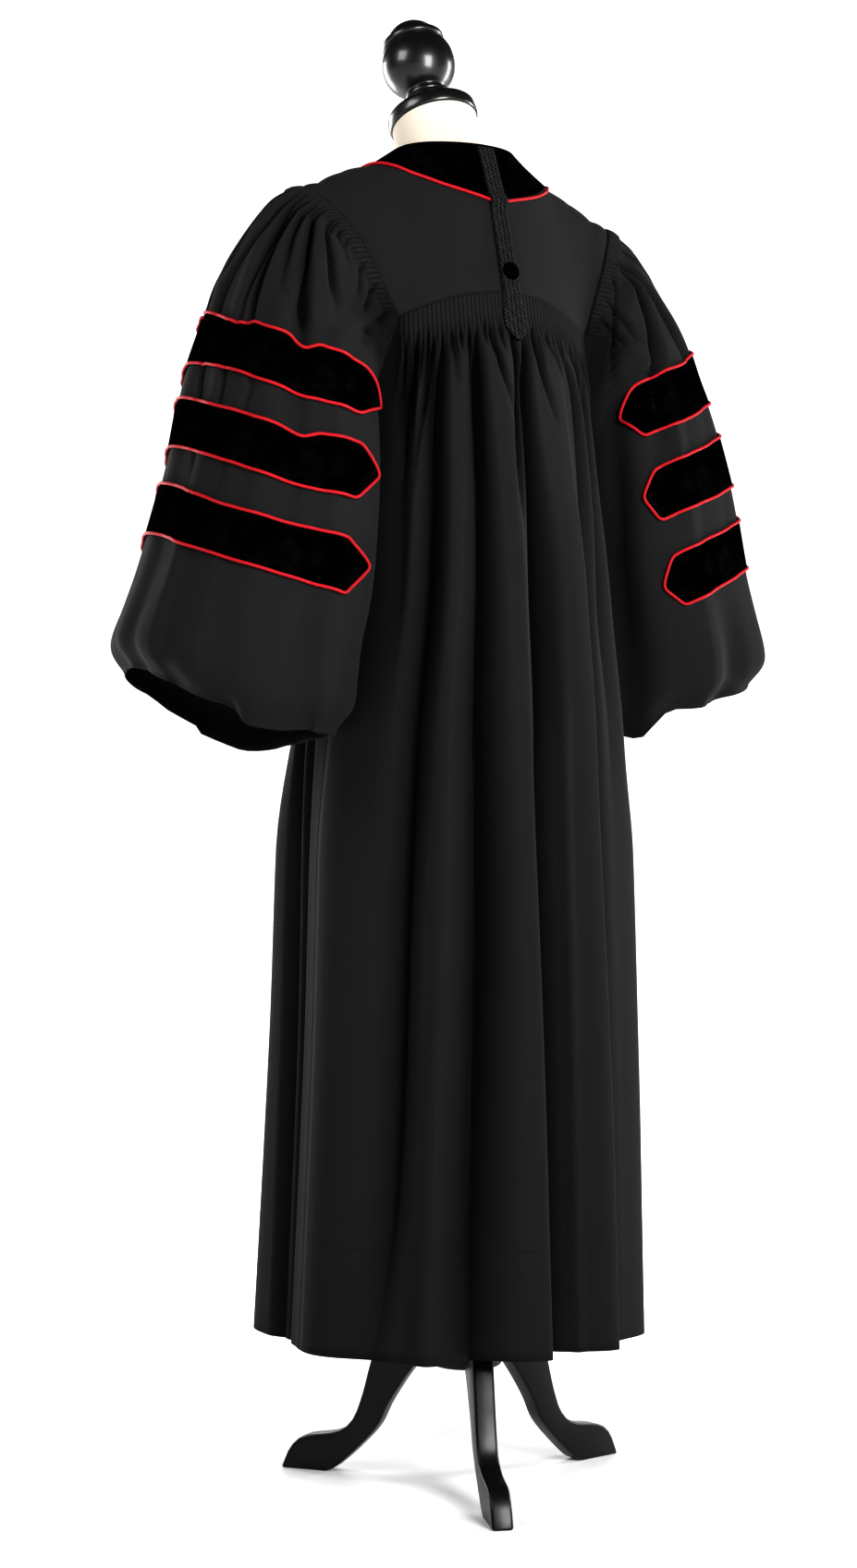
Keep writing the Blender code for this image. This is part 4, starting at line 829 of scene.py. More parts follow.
# the same for the right sleeve
RIGHT_CREASES: tuple[Crease, ...] = crease_set(
    ((17, 128, 6, 6, 0), (55, 146, 10, 10, -14), (92, 175, 12, 16, -20), (128, 199, 14, 20, -22),
     (177, 232, 16, 30, -22), (250, 268, 18, 36, -19), (310, 290, 18, 36, -16), (420, 296, 18, 36, -12),
     (500, 301, 18, 36, -8), (620, 305, 18, 36, 0)),
    ((20, 118, 6, 6, 0), (60, 133, 10, 10, -14), (110, 154, 13, 16, -17), (170, 170, 16, 20, -14),
     (250, 182, 18, 22, -6), (340, 186, 20, 20, 0)),
    ((14, 158, 6, 6, 0), (40, 180, 10, 8, -12), (55, 218, 12, 10, -14), (90, 275, 18, 16, -12),
     (160, 330, 20, 20, -6), (240, 350, 20, 20, 0)),
    ((12, 196, 4, 4, 0), (40, 206, 6, 6, -9), (80, 224, 8, 8, -9), (140, 246, 10, 10, 0)),
    ((12, 228, 4, 4, 0), (40, 235, 6, 6, -9), (80, 250, 8, 8, -8), (130, 268, 10, 10, 0)),
    ((20, 80, 6, 6, 0), (70, 95, 10, 10, -14), (140, 112, 14, 14, -16), (240, 122, 18, 18, -6),
     (340, 124, 20, 20, 0)),
    ((21, 45, 6, 6, 0), (70, 54, 10, 10, -12), (150, 62, 14, 14, -14), (260, 64, 18, 18, 0)),
    ((22, 6, 6, 6, 0), (80, 4, 10, 10, -12), (160, -4, 14, 14, -14), (280, -10, 18, 18, 0)),
    ((21, -40, 8, 8, 0), (78, -58, 12, 10, -16), (160, -90, 18, 14, -19), (300, -110, 22, 16, -9),
     (440, -112, 22, 18, 0)),
    ((20, -85, 6, 6, 0), (65, -104, 10, 8, -16), (120, -142, 16, 12, -20), (240, -185, 26, 16, -19),
     (400, -204, 30, 20, -11), (600, -208, 30, 20, 0)),
    ((18, -130, 6, 6, 0), (60, -150, 9, 8, -12), (110, -186, 12, 12, -12), (190, -236, 20, 20, 0)),
    across=PARTS,
) + crease_set(
    ((700, 225, 30, 40, 0), (850, 228, 30, 40, -8), (1000, 230, 30, 40, -11)),
    ((120, 100, 160, 160, 0), (250, 100, 160, 160, -7), (400, 100, 160, 160, -4), (550, 100, 160, 160, 0)),
    across=PARTS, sharp=False,
) + crease_set(
    ((200, 365, 30, 30, 0), (340, 372, 50, 30, -10), (600, 378, 60, 30, -16), (850, 372, 60, 30, -14),
     (1000, 362, 50, 30, -8)),
    across=PARTS,
) + crease_set(
    ((660, 120, 40, 40, 0), (850, 118, 40, 40, -6), (1000, 118, 40, 40, -9)),
    across=PARTS, sharp=False,
)
SLEEVE_CREASES: dict[Side, tuple[Crease, ...]] = {Side.LEFT: LEFT_CREASES, Side.RIGHT: RIGHT_CREASES}


@dataclass
class SleeveSurface(ClothSurface):
    """One sleeve: turn 0 at its outer side, drop 0 at the armhole and 1 at the hem."""

    side: Side = Side.LEFT
    steps: tuple[float, float] = (0.004, 0.01)
    head_share: float = 0.3
    head_puff: float = 1.45
    slope_step: float = 0.1
    ribs: int = 64
    rib_from: float = -0.2
    rib_to: float = BACK_CORNER

    def __post_init__(self) -> None:
        """The left sleeve's turns run the other way round from its outward side."""
        self.outward = -1.0 * self.side.value

    def reference_hem(self, turn: Array) -> Array:
        """A plain hem's height, which the bars follow."""
        return 0.885 + 0.04 * np.cos(turn * TURN)

    def section(self, turn: Array, height: Array) -> Array:
        """The sleeve at a turn and height, without folds.

        Args:
            turn, height: Turns round the sleeve, height over the floor.

        Returns:
            The points.
        """
        values = along(SLEEVE_SECTIONS, height)
        outer, inner, back, front, inner_power = (values[..., index] for index in range(5))
        angle = turn * TURN
        power = np.where(np.cos(angle) > 0.0, 2.6, inner_power)
        radius = oval_radius(angle + math.pi / 2.0, (outer - inner) / 2.0, (back - front) / 2.0, power)
        x = (outer + inner) / 2.0 + radius * np.cos(angle)
        return place(x, (back + front) / 2.0 + radius * np.sin(angle), height)

    def hanging(self, turn: Array, height: Array, share: Array) -> Array:
        """The sleeve below its head, with its large folds.

        Args:
            turn, height: Turns round the sleeve, height over the floor.
            share: How far down, 0 to 1.

        Returns:
            The points.
        """
        total = np.zeros(np.broadcast(turn, share).shape)
        for centre, half_width, rise_head, rise_hem in SLEEVE_FOLDS:
            away = np.clip(wrapped(turn - centre, 1.0) / half_width, -1.0, 1.0)
            total = total + lerp(rise_head, rise_hem, share) * np.cos(away * math.pi / 2.0) ** 2
        angle = turn * TURN
        outward = place(np.cos(angle), np.sin(angle), 0.0)
        return self.section(turn, height) + outward * column(total)

    def base(self, s: Array, t: Array) -> Array:
        """The outer face at a turn and drop.

        Args:
            s, t: Place across and down.

        Returns:
            The points.
        """
        turn, drop = np.broadcast_arrays(s, t)
        high = around(SLEEVE_HEAD, turn)[..., 0]
        share = bounded((drop - self.head_share) / (1.0 - self.head_share))
        plain = lerp(high, self.reference_hem(turn), share)
        hem = around(SLEEVE_HEMS[self.side], turn)[..., 0]
        height = plain + (hem - self.reference_hem(turn)) * smooth(0.72, 1.0, share)
        lower = self.hanging(turn, height, share)
        start = armhole(turn)
        end = self.hanging(turn, high, np.zeros_like(turn))
        level = (end - start) * np.array((1.0, 1.0, 0.0))
        start = start + unit(level) * 0.0014
        straight = end - start
        below = self.hanging(turn, high + straight[..., 2] * self.slope_step, np.zeros_like(turn))
        outer = column(((1.0 + np.cos(turn * TURN)) / 2.0) ** 0.5)
        leave = lerp(straight, level * self.head_puff, outer)
        arrive = lerp(straight, (below - end) / self.slope_step, outer)
        head = hermite(start, leave, end, arrive, column(bounded(drop / self.head_share)))
        points = pick((drop >= self.head_share,), (lower, head))
        points[..., 0] *= self.side.value
        return points

    def flutes(self, turn: Array, drop: Array) -> Array:
        """The cords of cloth round the sleeve's head, each running out into the gathers.

        Args:
            turn: Place round the sleeve.
            drop: Place down.

        Returns:
            The rise.
        """
        part = (turn - self.rib_from) / (self.rib_to - self.rib_from)
        number = np.floor(part * self.ribs)
        end = 0.037 + 0.003 * np.sin(number * 2.1) + 0.002 * np.sin(number * 4.7 + 2.0)
        inside = smooth(0.0, 0.03, part) * (1.0 - smooth(0.97, 1.0, part))
        return 0.0024 * cords(part * self.ribs) * inside * (1.0 - smooth(end * 0.88, end * 1.22, drop))

    def turn_under(self, turn: Array, drop: Array) -> Array:
        """How far the gathered hem draws the cloth in, unevenly round the sleeve.

        Args:
            turn, drop: Turns round the sleeve, how far down.

        Returns:
            The rise, under 0 where it is drawn in.
        """
        gather = 0.5 + 0.27 * np.sin(turn * 75.4 + 0.7) + 0.23 * np.sin(turn * 44.0 + 2.1)
        bulge = 0.005 * gather * smooth(0.8, 0.93, drop) * (1.0 - smooth(0.95, 1.0, drop))
        return bulge - (0.02 - 0.007 * gather) * smooth(0.925, 1.0, drop) ** 1.4

    def painted_shade(self, s: Array, t: Array) -> Array:
        """The painted shade between cords, in gathers and creases, and at the armhole's back corner.

        Args:
            s, t: Place across and down.

        Returns:
            The painted shade, from 0 to 1.
        """
        turn, drop = np.broadcast_arrays(s, t)
        turn = wrapped(turn, 1.0)
        depth = shaded(SLEEVE_CREASES[self.side], turn, drop, 1.0)
        part = (turn - self.rib_from) / (self.rib_to - self.rib_from)
        ribbed = (turn > self.rib_from) & (turn < self.rib_to)
        between = (1.0 - cords(part * self.ribs)) ** 3 * ribbed
        between = between * (1.0 - smooth(0.03, 0.042, drop)) * 0.75
        # painted shade at the armhole's back corner, where sleeve and back meet
        corner = 0.7 * smooth(0.2, BACK_CORNER, turn) * (1.0 - smooth(0.33, 0.42, turn))
        corner = corner * (1.0 - smooth(0.06, 0.2, drop))
        return bounded(depth / lerp(0.014, 0.026, smooth(0.08, 0.3, drop)) + between + corner)

    def rise(self, s: Array, t: Array) -> Array:
        """Flutes, gathers and creases.

        Args:
            s, t: Place across and down.

        Returns:
            The rise.
        """
        turn, drop = np.broadcast_arrays(s, t)
        turn = wrapped(turn, 1.0)
        outside = 1.0 - smooth(0.2, 0.3, np.abs(turn))
        outside = outside * lerp(0.25, 1.0, smooth(0.0, 0.13, np.abs(turn - 0.01)))
        puff = 0.008 * smooth(0.036, 0.085, drop) * (1.0 - smooth(0.18, 0.36, drop)) * outside
        creases = creased(SLEEVE_CREASES[self.side], turn, drop, 1.0)
        return self.flutes(turn, drop) + puff + creases + self.turn_under(turn, drop)


# -------- finishes


class Slot(Enum):
    """The part's named finishes."""

    CLOTH = "robe_cloth"
    VELVET = "velvet"
    PIPING = "piping"
    BRAID = "braid"
    COVER = "form_cover"
    LACQUER = "black_lacquer"
    STAND = "black_stand"


@dataclass
class Wire:
    """A shader socket that can be used in sums; a number stands for itself."""

    tree: Tree
    socket: bpy.types.NodeSocket

    def maths(self, operation: str, *values: "Wire | float") -> "Wire":
        """A Math node in this tree; all its inputs come from values, the socket isn't among them."""
        return node(self.tree, "ShaderNodeMath", {"operation": operation}, dict(enumerate(values)))

    def __add__(self, other: "Wire | float") -> "Wire":
        """Sum."""
        return self.maths("ADD", self, other)

    def __sub__(self, other: "Wire | float") -> "Wire":
        """Difference."""
        return self.maths("SUBTRACT", self, other)

    def __rsub__(self, other: "Wire | float") -> "Wire":
        """A number less this."""
        return self.maths("SUBTRACT", other, self)

    def __mul__(self, other: "Wire | float") -> "Wire":
        """Product."""
        return self.maths("MULTIPLY", self, other)

    def sine(self) -> "Wire":
        """Sine of an angle in radians."""
        return self.maths("SINE", self)

    def size(self) -> "Wire":
        """The value without its sign."""
        return self.maths("ABSOLUTE", self)

    def band(self, middle: float, half_width: float) -> "Wire":
        """1 at a value, falling to 0 at half a width away."""
        near = (self - middle).size() * (1.0 / half_width)
        return node(self.tree, "ShaderNodeClamp", {}, {"Value": 1.0 - near})


def node(tree: Tree, kind: str, settings: dict, values: dict, out: int | str = 0) -> Wire:
    """Adds a node.

    Args:
        tree: The material's nodes.
        kind: The node's type.
        settings: Its own settings, set first; a list of stops goes to a ramp.
        values: What its inputs hold, numbers or sockets, by name or place.
        out: Which of its outputs is wanted.

    Returns:
        The wanted output.
    """
    made = tree.nodes.new(kind)
    for name, value in settings.items():
        if name == "stops":
            set_stops(made.color_ramp, value)
        else:
            setattr(made, name, value)
    for key, value in values.items():
        if isinstance(value, Wire):
            tree.links.new(value.socket, made.inputs[key])
        else:
            made.inputs[key].default_value = value
    return Wire(tree, made.outputs[out])


def set_stops(ramp: bpy.types.ColorRamp, stops: Sequence[tuple[float, float]]) -> None:
    """Sets a ramp's grey stops, places and values.

    Args:
        ramp: The ramp.
        stops: Places and values.
    """
    while len(ramp.elements) < len(stops):
        ramp.elements.new(0.5)
    for element, (place_on, value) in zip(ramp.elements, stops):
        element.position = place_on
        element.color = (value, value, value, 1.0)


Colour = tuple[float, float, float]


@dataclass(frozen=True)
class Finish:
    """A finish with its constant values; what varies over it comes from its own method."""

    slot: Slot
    colour: Colour
    second: Colour
    roughness: float
    sheen: float = 0.0
    sheen_roughness: float = 0.5
    sheen_tint: Colour = (1.0, 1.0, 1.0)
    coat: float = 0.0
    coat_roughness: float = 0.1
    specular: float = 0.5
    anisotropy: float = 0.0

    def make(self) -> bpy.types.Material:
        """The finished material.

        Returns:
            The material.
        """
        material = bpy.data.materials.new(self.slot.value)
        material.use_nodes = True
        tree = material.node_tree
        shader = tree.nodes["Principled BSDF"]
        constants = {
            "Sheen Weight": self.sheen,
            "Sheen Roughness": self.sheen_roughness,
            "Sheen Tint": (*self.sheen_tint, 1.0),
            "Coat Weight": self.coat,
            "Coat Roughness": self.coat_roughness,
            "Specular IOR Level": self.specular,
            "Anisotropic": self.anisotropy,
        }
        for name, value in constants.items():
            shader.inputs[name].default_value = value
        for name, wire in self.vary(tree).items():
            tree.links.new(wire.socket, shader.inputs[name])
        return material

    def vary(self, tree: Tree) -> dict[str, Wire]:
        """What changes over the surface, by the shader's inputs."""
        raise NotImplementedError

    def blend(self, tree: Tree, share: Wire, first: "Wire | Colour",
              second: "Wire | Colour") -> Wire:
        """A colour between two by a share.

        Args:
            tree: The material's nodes.
            share: 0 to 1.
            first: The colour at 0.
            second: The colour at 1.

        Returns:
            The colour.
        """
        ends = [end if isinstance(end, Wire) else (*end, 1.0) for end in (first, second)]
        settings = {"data_type": "RGBA", "clamp_factor": True}
        return node(tree, "ShaderNodeMix", settings, {0: share, 6: ends[0], 7: ends[1]}, 2)

    def noise(self, tree: Tree, vector: Wire, scale: float, detail: float = 3.0,
              rough: float = 0.5) -> Wire:
        """Cloudy noise from 0 to 1."""
        values = {"Vector": vector, "Scale": scale, "Detail": detail, "Roughness": rough}
        return node(tree, "ShaderNodeTexNoise", {}, values)

    def relief(self, tree: Tree, height: Wire, distance: float, strength: float = 1.0) -> Wire:
        """A bump from a height."""
        values = {"Height": height, "Distance": distance, "Strength": strength}
        return node(tree, "ShaderNodeBump", {}, values)

    def place(self, tree: Tree) -> Wire:
        """The piece's own coordinates in metres."""
        return node(tree, "ShaderNodeTexCoord", {}, {}, "Object")

    def lay(self, tree: Tree) -> tuple[Wire, Wire, Wire]:
        """The cloth's own lengths: the vector, across and from the hem, in metres.

        Args:
            tree: The material's nodes.

        Returns:
            The three.
        """
        vector = node(tree, "ShaderNodeUVMap", {"uv_map": "lay"}, {})
        split = node(tree, "ShaderNodeSeparateXYZ", {}, {0: vector})
        return vector, split, Wire(tree, split.socket.node.outputs[1])


@dataclass(frozen=True)
class Twill(Finish):
    """The robe's matte cloth, a fine twill with a soft lift on its folds."""

    pitch: float = 0.0009
    hem: float = 0.12
    # the colour that painted shade in creases and between cords darkens the cloth towards
    shade: Colour = (0.001, 0.001, 0.0012)

    def vary(self, tree: Tree) -> dict[str, Wire]:
        """Twill lines, slubs, faint clouding, the hem's stitch line and painted shade in creases.

        Args:
            tree: The material's nodes.

        Returns:
            The shader's inputs and what feeds them.
        """
        vector, across, down = self.lay(tree)
        turns = TURN / self.pitch
        slant = ((across + down * 0.62) * turns).sine()
        thread = ((across * 0.7 - down) * (turns * 1.9)).sine()
        slub = self.noise(tree, vector, 900.0, 2.0)
        cloud = self.noise(tree, vector, 7.0, 4.0, 0.6)
        fine = self.noise(tree, vector, 260.0, 3.0, 0.6)
        wave = (across * (TURN / 0.0032)).sine()
        dash = wave.maths("GREATER_THAN", wave, -0.45)
        stitch = down.band(self.hem, 0.0009) * (dash * 0.5 + 0.5)
        # painted shade in creases and gathers, kept on the cloth's points
        painted_shade = node(tree, "ShaderNodeAttribute", {"attribute_name": "painted_shade"}, {}, "Fac")
        share = cloud * 0.45 + fine * 0.35 + slant * 0.1 + slub * 0.15 - stitch * 0.5
        height = slant * 0.3 + thread * 0.12 + slub * 0.35 + fine * 0.25 - stitch * 2.2
        rough = cloud * 0.1 + fine * 0.08 + (self.roughness - 0.09)
        cloth = self.blend(tree, share, self.colour, self.second)
        return {
            "Base Color": self.blend(tree, painted_shade * 0.92, cloth, self.shade),
            "Roughness": rough,
            "Normal": self.relief(tree, height, 0.00016),
        }


@dataclass(frozen=True)
class Velvet(Finish):
    """Black cotton velvet with brushed patches of nap."""

    def vary(self, tree: Tree) -> dict[str, Wire]:
        """Nap patches and the pile's fine grain.

        Args:
            tree: The material's nodes.

        Returns:
            The shader's inputs and what feeds them.
        """
        vector = self.lay(tree)[0]
        patch = self.noise(tree, vector, 26.0, 4.0, 0.62)
        nap = node(tree, "ShaderNodeValToRGB", {"stops": [(0.50, 0.0), (0.72, 1.0)]}, {0: patch})
        pile = self.noise(tree, vector, 1500.0, 2.0)
        height = pile * 0.6 + patch * 0.8
        return {
            "Base Color": self.blend(tree, nap, self.colour, self.second),
            "Roughness": patch * 0.12 + (self.roughness - 0.06),
            "Normal": self.relief(tree, height, 0.00035),
        }


@dataclass(frozen=True)
class Satin(Finish):
    """The piping's satin, wound on the bias round its cord."""

    pitch: float = 0.0011

    def vary(self, tree: Tree) -> dict[str, Wire]:
        """Bias threads and small puckers.

        Args:
            tree: The material's nodes.

        Returns:
            The shader's inputs and what feeds them.
        """
        vector, across, down = self.lay(tree)
        bias = ((across + down) * (TURN / self.pitch)).sine()
        pucker = self.noise(tree, vector, 120.0, 2.0)
        share = pucker * 0.7 + bias * 0.12
        return {
            "Base Color": self.blend(tree, share, self.colour, self.second),
            "Roughness": pucker * 0.12 + (self.roughness - 0.06),
            "Normal": self.relief(tree, bias * 0.3 + pucker * 1.2, 0.00030),
        }


@dataclass(frozen=True)
class Braid(Finish):
    """The strap's knitted yarn."""

    def vary(self, tree: Tree) -> dict[str, Wire]:
        """Twisted yarn, and painted shade between its stitches.

        Args:
            tree: The material's nodes.

        Returns:
            The shader's inputs and what feeds them.
        """
        vector, across, down = self.lay(tree)
        yarn = ((across * 1.3 + down) * (TURN / 0.0007)).sine()
        fluff = self.noise(tree, vector, 1800.0, 3.0, 0.6)
        # the knit's relief, read as painted shade that darkens the gaps between stitches
        depth = node(tree, "ShaderNodeAttribute", {"attribute_name": "depth"}, {}, "Fac")
        share = depth * 1.25 + yarn * 0.06 + fluff * 0.15 - 0.36
        return {
            "Base Color": self.blend(tree, share, self.colour, self.second),
            "Roughness": fluff * 0.1 + (self.roughness - 0.05),
            "Normal": self.relief(tree, yarn * 0.5 + fluff * 0.8, 0.00022),
        }


@dataclass(frozen=True)
class Jersey(Finish):
    """The form's stretched cream cover."""

    def vary(self, tree: Tree) -> dict[str, Wire]:
        """Fine knit and a little unevenness.

        Args:
            tree: The material's nodes.

        Returns:
            The shader's inputs and what feeds them.
        """
        vector = self.place(tree)
        knit = self.noise(tree, vector, 1400.0, 2.0)
        cloud = self.noise(tree, vector, 9.0, 3.0)
        return {
            "Base Color": self.blend(tree, cloud, self.colour, self.second),
            "Roughness": cloud * 0.08 + (self.roughness - 0.04),
            "Normal": self.relief(tree, knit, 0.00010),
        }


@dataclass(frozen=True)
class Lacquer(Finish):
    """Black lacquer on turned wood, with the faint waves of its polish."""

    grain: float = 0.15
    waves: float = 34.0

    def vary(self, tree: Tree) -> dict[str, Wire]:
        """Polish waves, fine specks and dust that dulls it.

        Args:
            tree: The material's nodes.

        Returns:
            The shader's inputs and what feeds them.
        """
        vector = self.place(tree)
        wave = self.noise(tree, vector, self.waves, 2.0)
        speck = self.noise(tree, vector, 620.0, 2.0)
        dust = self.noise(tree, vector, 11.0, 4.0, 0.6)
        return {
            "Base Color": self.blend(tree, dust, self.colour, self.second),
            "Roughness": dust * 0.10 + speck * 0.05 + (self.roughness - 0.07),
            "Normal": self.relief(tree, wave * 1.0 + speck * self.grain, 0.00018),
        }


FINISHES: tuple[Finish, ...] = (
    Twill(Slot.CLOTH, (0.0088, 0.0088, 0.0091), (0.015, 0.015, 0.0153), 0.85, sheen=0.022,
          sheen_roughness=0.45, sheen_tint=(0.92, 0.93, 0.95), specular=0.06),
    Velvet(Slot.VELVET, (0.0004, 0.0004, 0.0005), (0.0028, 0.0029, 0.0038), 0.95, sheen=0.005,
           sheen_roughness=0.3, sheen_tint=(0.7, 0.76, 1.0), specular=0.0),
    Satin(Slot.PIPING, (0.255, 0.004, 0.009), (0.38, 0.008, 0.016), 0.55, sheen=0.01, sheen_roughness=0.35,
          sheen_tint=(1.0, 0.6, 0.6), specular=0.2),
    # the braid's first colour is the painted shade between its stitches
    Braid(Slot.BRAID, (0.0004, 0.0004, 0.0005), (0.03, 0.0302, 0.031), 0.8, sheen=0.02,
          sheen_roughness=0.4, specular=0.1),
    Jersey(Slot.COVER, (0.42, 0.375, 0.315), (0.47, 0.42, 0.36), 0.85, sheen=0.02, specular=0.15),
    Lacquer(Slot.LACQUER, (0.003, 0.003, 0.0032), (0.0052, 0.0052, 0.0056), 0.36, coat=0.35,
            coat_roughness=0.16, specular=0.3),
    Lacquer(Slot.STAND, (0.0032, 0.0032, 0.0034), (0.006, 0.006, 0.0062), 0.34, coat=0.06,
            coat_roughness=0.22, specular=0.22, grain=0.35, waves=60.0),
)
MADE: dict[Slot, bpy.types.Material] = {}


def dress(obj: Object, kind: Slot) -> None:
    """Gives a piece its finish and its body.

    Args:
        obj: The piece.
        kind: Its finish.
    """
    if not MADE:
        MADE.update({finish.slot: finish.make() for finish in FINISHES})
    obj.data.materials.append(MADE[kind])
    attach(obj, "root")
    LOG.info("%s: %s, %d faces", obj.name, kind.value, len(obj.data.polygons))


# -------- laying sheets down


def add(name: str, data: bpy.types.ID) -> Object:
    """A new object in the scene.

    Args:
        name: The piece's name.
        data: What it shows.

    Returns:
        The object.
    """
    obj = bpy.data.objects.new(name, data)
    bpy.context.scene.collection.objects.link(obj)
    return obj


def mark(mesh: bpy.types.Mesh, name: str, values: Array) -> None:
    """Keeps a value for each of a mesh's points, which its finish reads."""
    mesh.attributes.new(name, "FLOAT", "POINT").data.foreach_set("value", values)


def lay_out(mesh: bpy.types.Mesh, lengths: Array) -> None:
    """Keeps the weave's two lengths for each corner of a mesh's faces."""
    mesh.uv_layers.new(name="lay").data.foreach_set("uv", lengths.reshape(-1))


def quads(index: Array) -> list[list[int]]:
    """The four-sided faces between a grid's neighbouring points."""
    corners = (index[:-1, :-1], index[:-1, 1:], index[1:, 1:], index[1:, :-1])
    return np.stack(corners, axis=-1).reshape(-1, 4).tolist()


def grid_faces(rows: int, columns: int, coarse_from: int | None) -> list[list[int]]:
    """Faces of a grid, by its points' numbers; from a row on every second column is left out.

    Args:
        rows: Rows of points.
        columns: Columns of points.
        coarse_from: The row where it turns coarse, or None.

    Returns:
        The faces.
    """
    index = np.arange(rows * columns).reshape(rows, columns)
    if coarse_from is None:
        return quads(index)
    fine, coarse = index[coarse_from], index[coarse_from + 1 :, ::2]
    joint = np.stack([fine[:-2:2], fine[1:-1:2], fine[2::2], coarse[0, 1:], coarse[0, :-1]], axis=-1)
    return quads(index[: coarse_from + 1]) + joint.tolist() + quads(coarse)


def lay_grid(name: str, points: Array, kind: Slot, outward: float = 1.0, closed: bool = False,
             thickness: float = CLOTH, coarse_from: int | None = None, hem: float = 1.0,
             painted_shade: Array | None = None) -> Object:
    """A thin sheet from a grid of its outer face's points, with its weave's lengths.

    Args:
        name: The piece's name.
        points: Rows by columns of points, from the stand's axis.
        kind: The piece's finish.
        outward: 1 where across times down points outwards, else -1.
        closed: Whether the last column meets the first.
        thickness: How thick the cloth is.
        coarse_from: The row from which every second column is left out, or None.
        hem: How far its lower edge is from the robe's stitched hem, 1 where it has none.
        painted_shade: How much painted shade each point gets in creases, from 0 to 1.

    Returns:
        The finished piece.
    """
    rows, columns = points.shape[:2]
    wide = columns + 1 if closed else columns
    faces = grid_faces(rows, wide, coarse_from)
    if outward < 0.0:
        faces = [face[::-1] for face in faces]
    loops = np.concatenate([np.array(face) for face in faces])
    used, numbers = np.unique(loops // wide * columns + loops % wide % columns, return_inverse=True)
    ends = np.cumsum([len(face) for face in faces])
    mesh = bpy.data.meshes.new(name)
    placed = points.reshape(-1, 3)[used] + AXIS
    mesh.from_pydata(placed, [], [part.tolist() for part in np.split(numbers, ends[:-1])])
    around_lengths = np.linalg.norm(np.diff(points, axis=1, append=points[:, :1]), axis=-1)
    u = np.concatenate([np.zeros((rows, 1)), np.cumsum(around_lengths, axis=1)], axis=1)
    v_steps = np.linalg.norm(np.diff(points, axis=0), axis=-1)
    v = np.concatenate([np.zeros((1, columns)), np.cumsum(v_steps, axis=0)])
    u = u - u[:, columns // 2 : columns // 2 + 1]
    v = v[-1:] - v + hem
    v = np.concatenate([v, v[:, :1]], axis=1)
    lay_out(mesh, np.stack([u[:, :wide].reshape(-1), v[:, :wide].reshape(-1)], axis=-1)[loops])
    if painted_shade is not None:
        mark(mesh, "painted_shade", painted_shade.reshape(-1)[used])
    mesh.shade_smooth()
    obj = add(name, mesh)
    thicken(obj, thickness)
    dress(obj, kind)
    return obj


def select_only(obj: Object) -> None:
    """Makes one object the selected and active one.

    Args:
        obj: The piece.
    """
    bpy.ops.object.select_all(action="DESELECT")
    obj.select_set(True)
    bpy.context.view_layer.objects.active = obj


def thicken(obj: Object, thickness: float) -> None:
    """Gives a sheet its thickness, inwards from its outer face.

    Args:
        obj: The piece.
        thickness: How thick it gets.
    """
    select_only(obj)
    solid = obj.modifiers.new("thickness", "SOLIDIFY")
    solid.thickness = thickness
    solid.offset = -1.0
    bpy.ops.object.modifier_apply(modifier=solid.name)


def lay_tube(name: str, route: Array, normals: Array, radius: float, kind: Slot, closed: bool,
             sides: int = 10) -> Object:
    """A round cord along a route.

    Args:
        name: The piece's name.
        route: Points on its middle line.
        normals: Directions away from the cloth.
        radius: Its radius.
        kind: Its finish.
        closed: Whether its ends meet.
        sides: Sides of its section.

    Returns:
        The cord.
    """
    ahead = np.roll(route, -1, axis=0) - np.roll(route, 1, axis=0)
    if not closed:
        ahead[0], ahead[-1] = route[1] - route[0], route[-1] - route[-2]
    ahead = unit(ahead)
    up = unit(normals - ahead * column(np.sum(normals * ahead, axis=-1)))
    across = np.cross(ahead, up)
    angles = np.arange(sides) / sides * TURN
    rings = (
        route[:, None, :]
        + across[:, None, :] * np.cos(angles)[None, :, None] * radius
        + up[:, None, :] * np.sin(angles)[None, :, None] * radius
    )
    count = len(route)
    index = np.arange(count * sides).reshape(count, sides)
    below = np.roll(index, -1, axis=0) if closed else index[1:]
    here = index if closed else index[:-1]
    faces = np.stack([here, np.roll(here, -1, axis=1), np.roll(below, -1, axis=1), below], axis=-1)
    faces = faces.reshape(-1, 4)[:, ::-1].tolist()
    if not closed:
        faces += [index[0].tolist(), index[-1][::-1].tolist()]
    mesh = bpy.data.meshes.new(name)
    mesh.from_pydata(rings.reshape(-1, 3) + AXIS, [], faces)
    lengths = run_lengths(route)
    vertex = np.empty(len(mesh.loops), dtype=np.int32)
    mesh.loops.foreach_get("vertex_index", vertex)
    girth = (vertex % sides) / sides * TURN * radius
    lay_out(mesh, np.stack([girth, lengths[vertex // sides]], axis=-1))
    mesh.shade_smooth()
    obj = add(name, mesh)
    dress(obj, kind)
    return obj


# -------- the robe


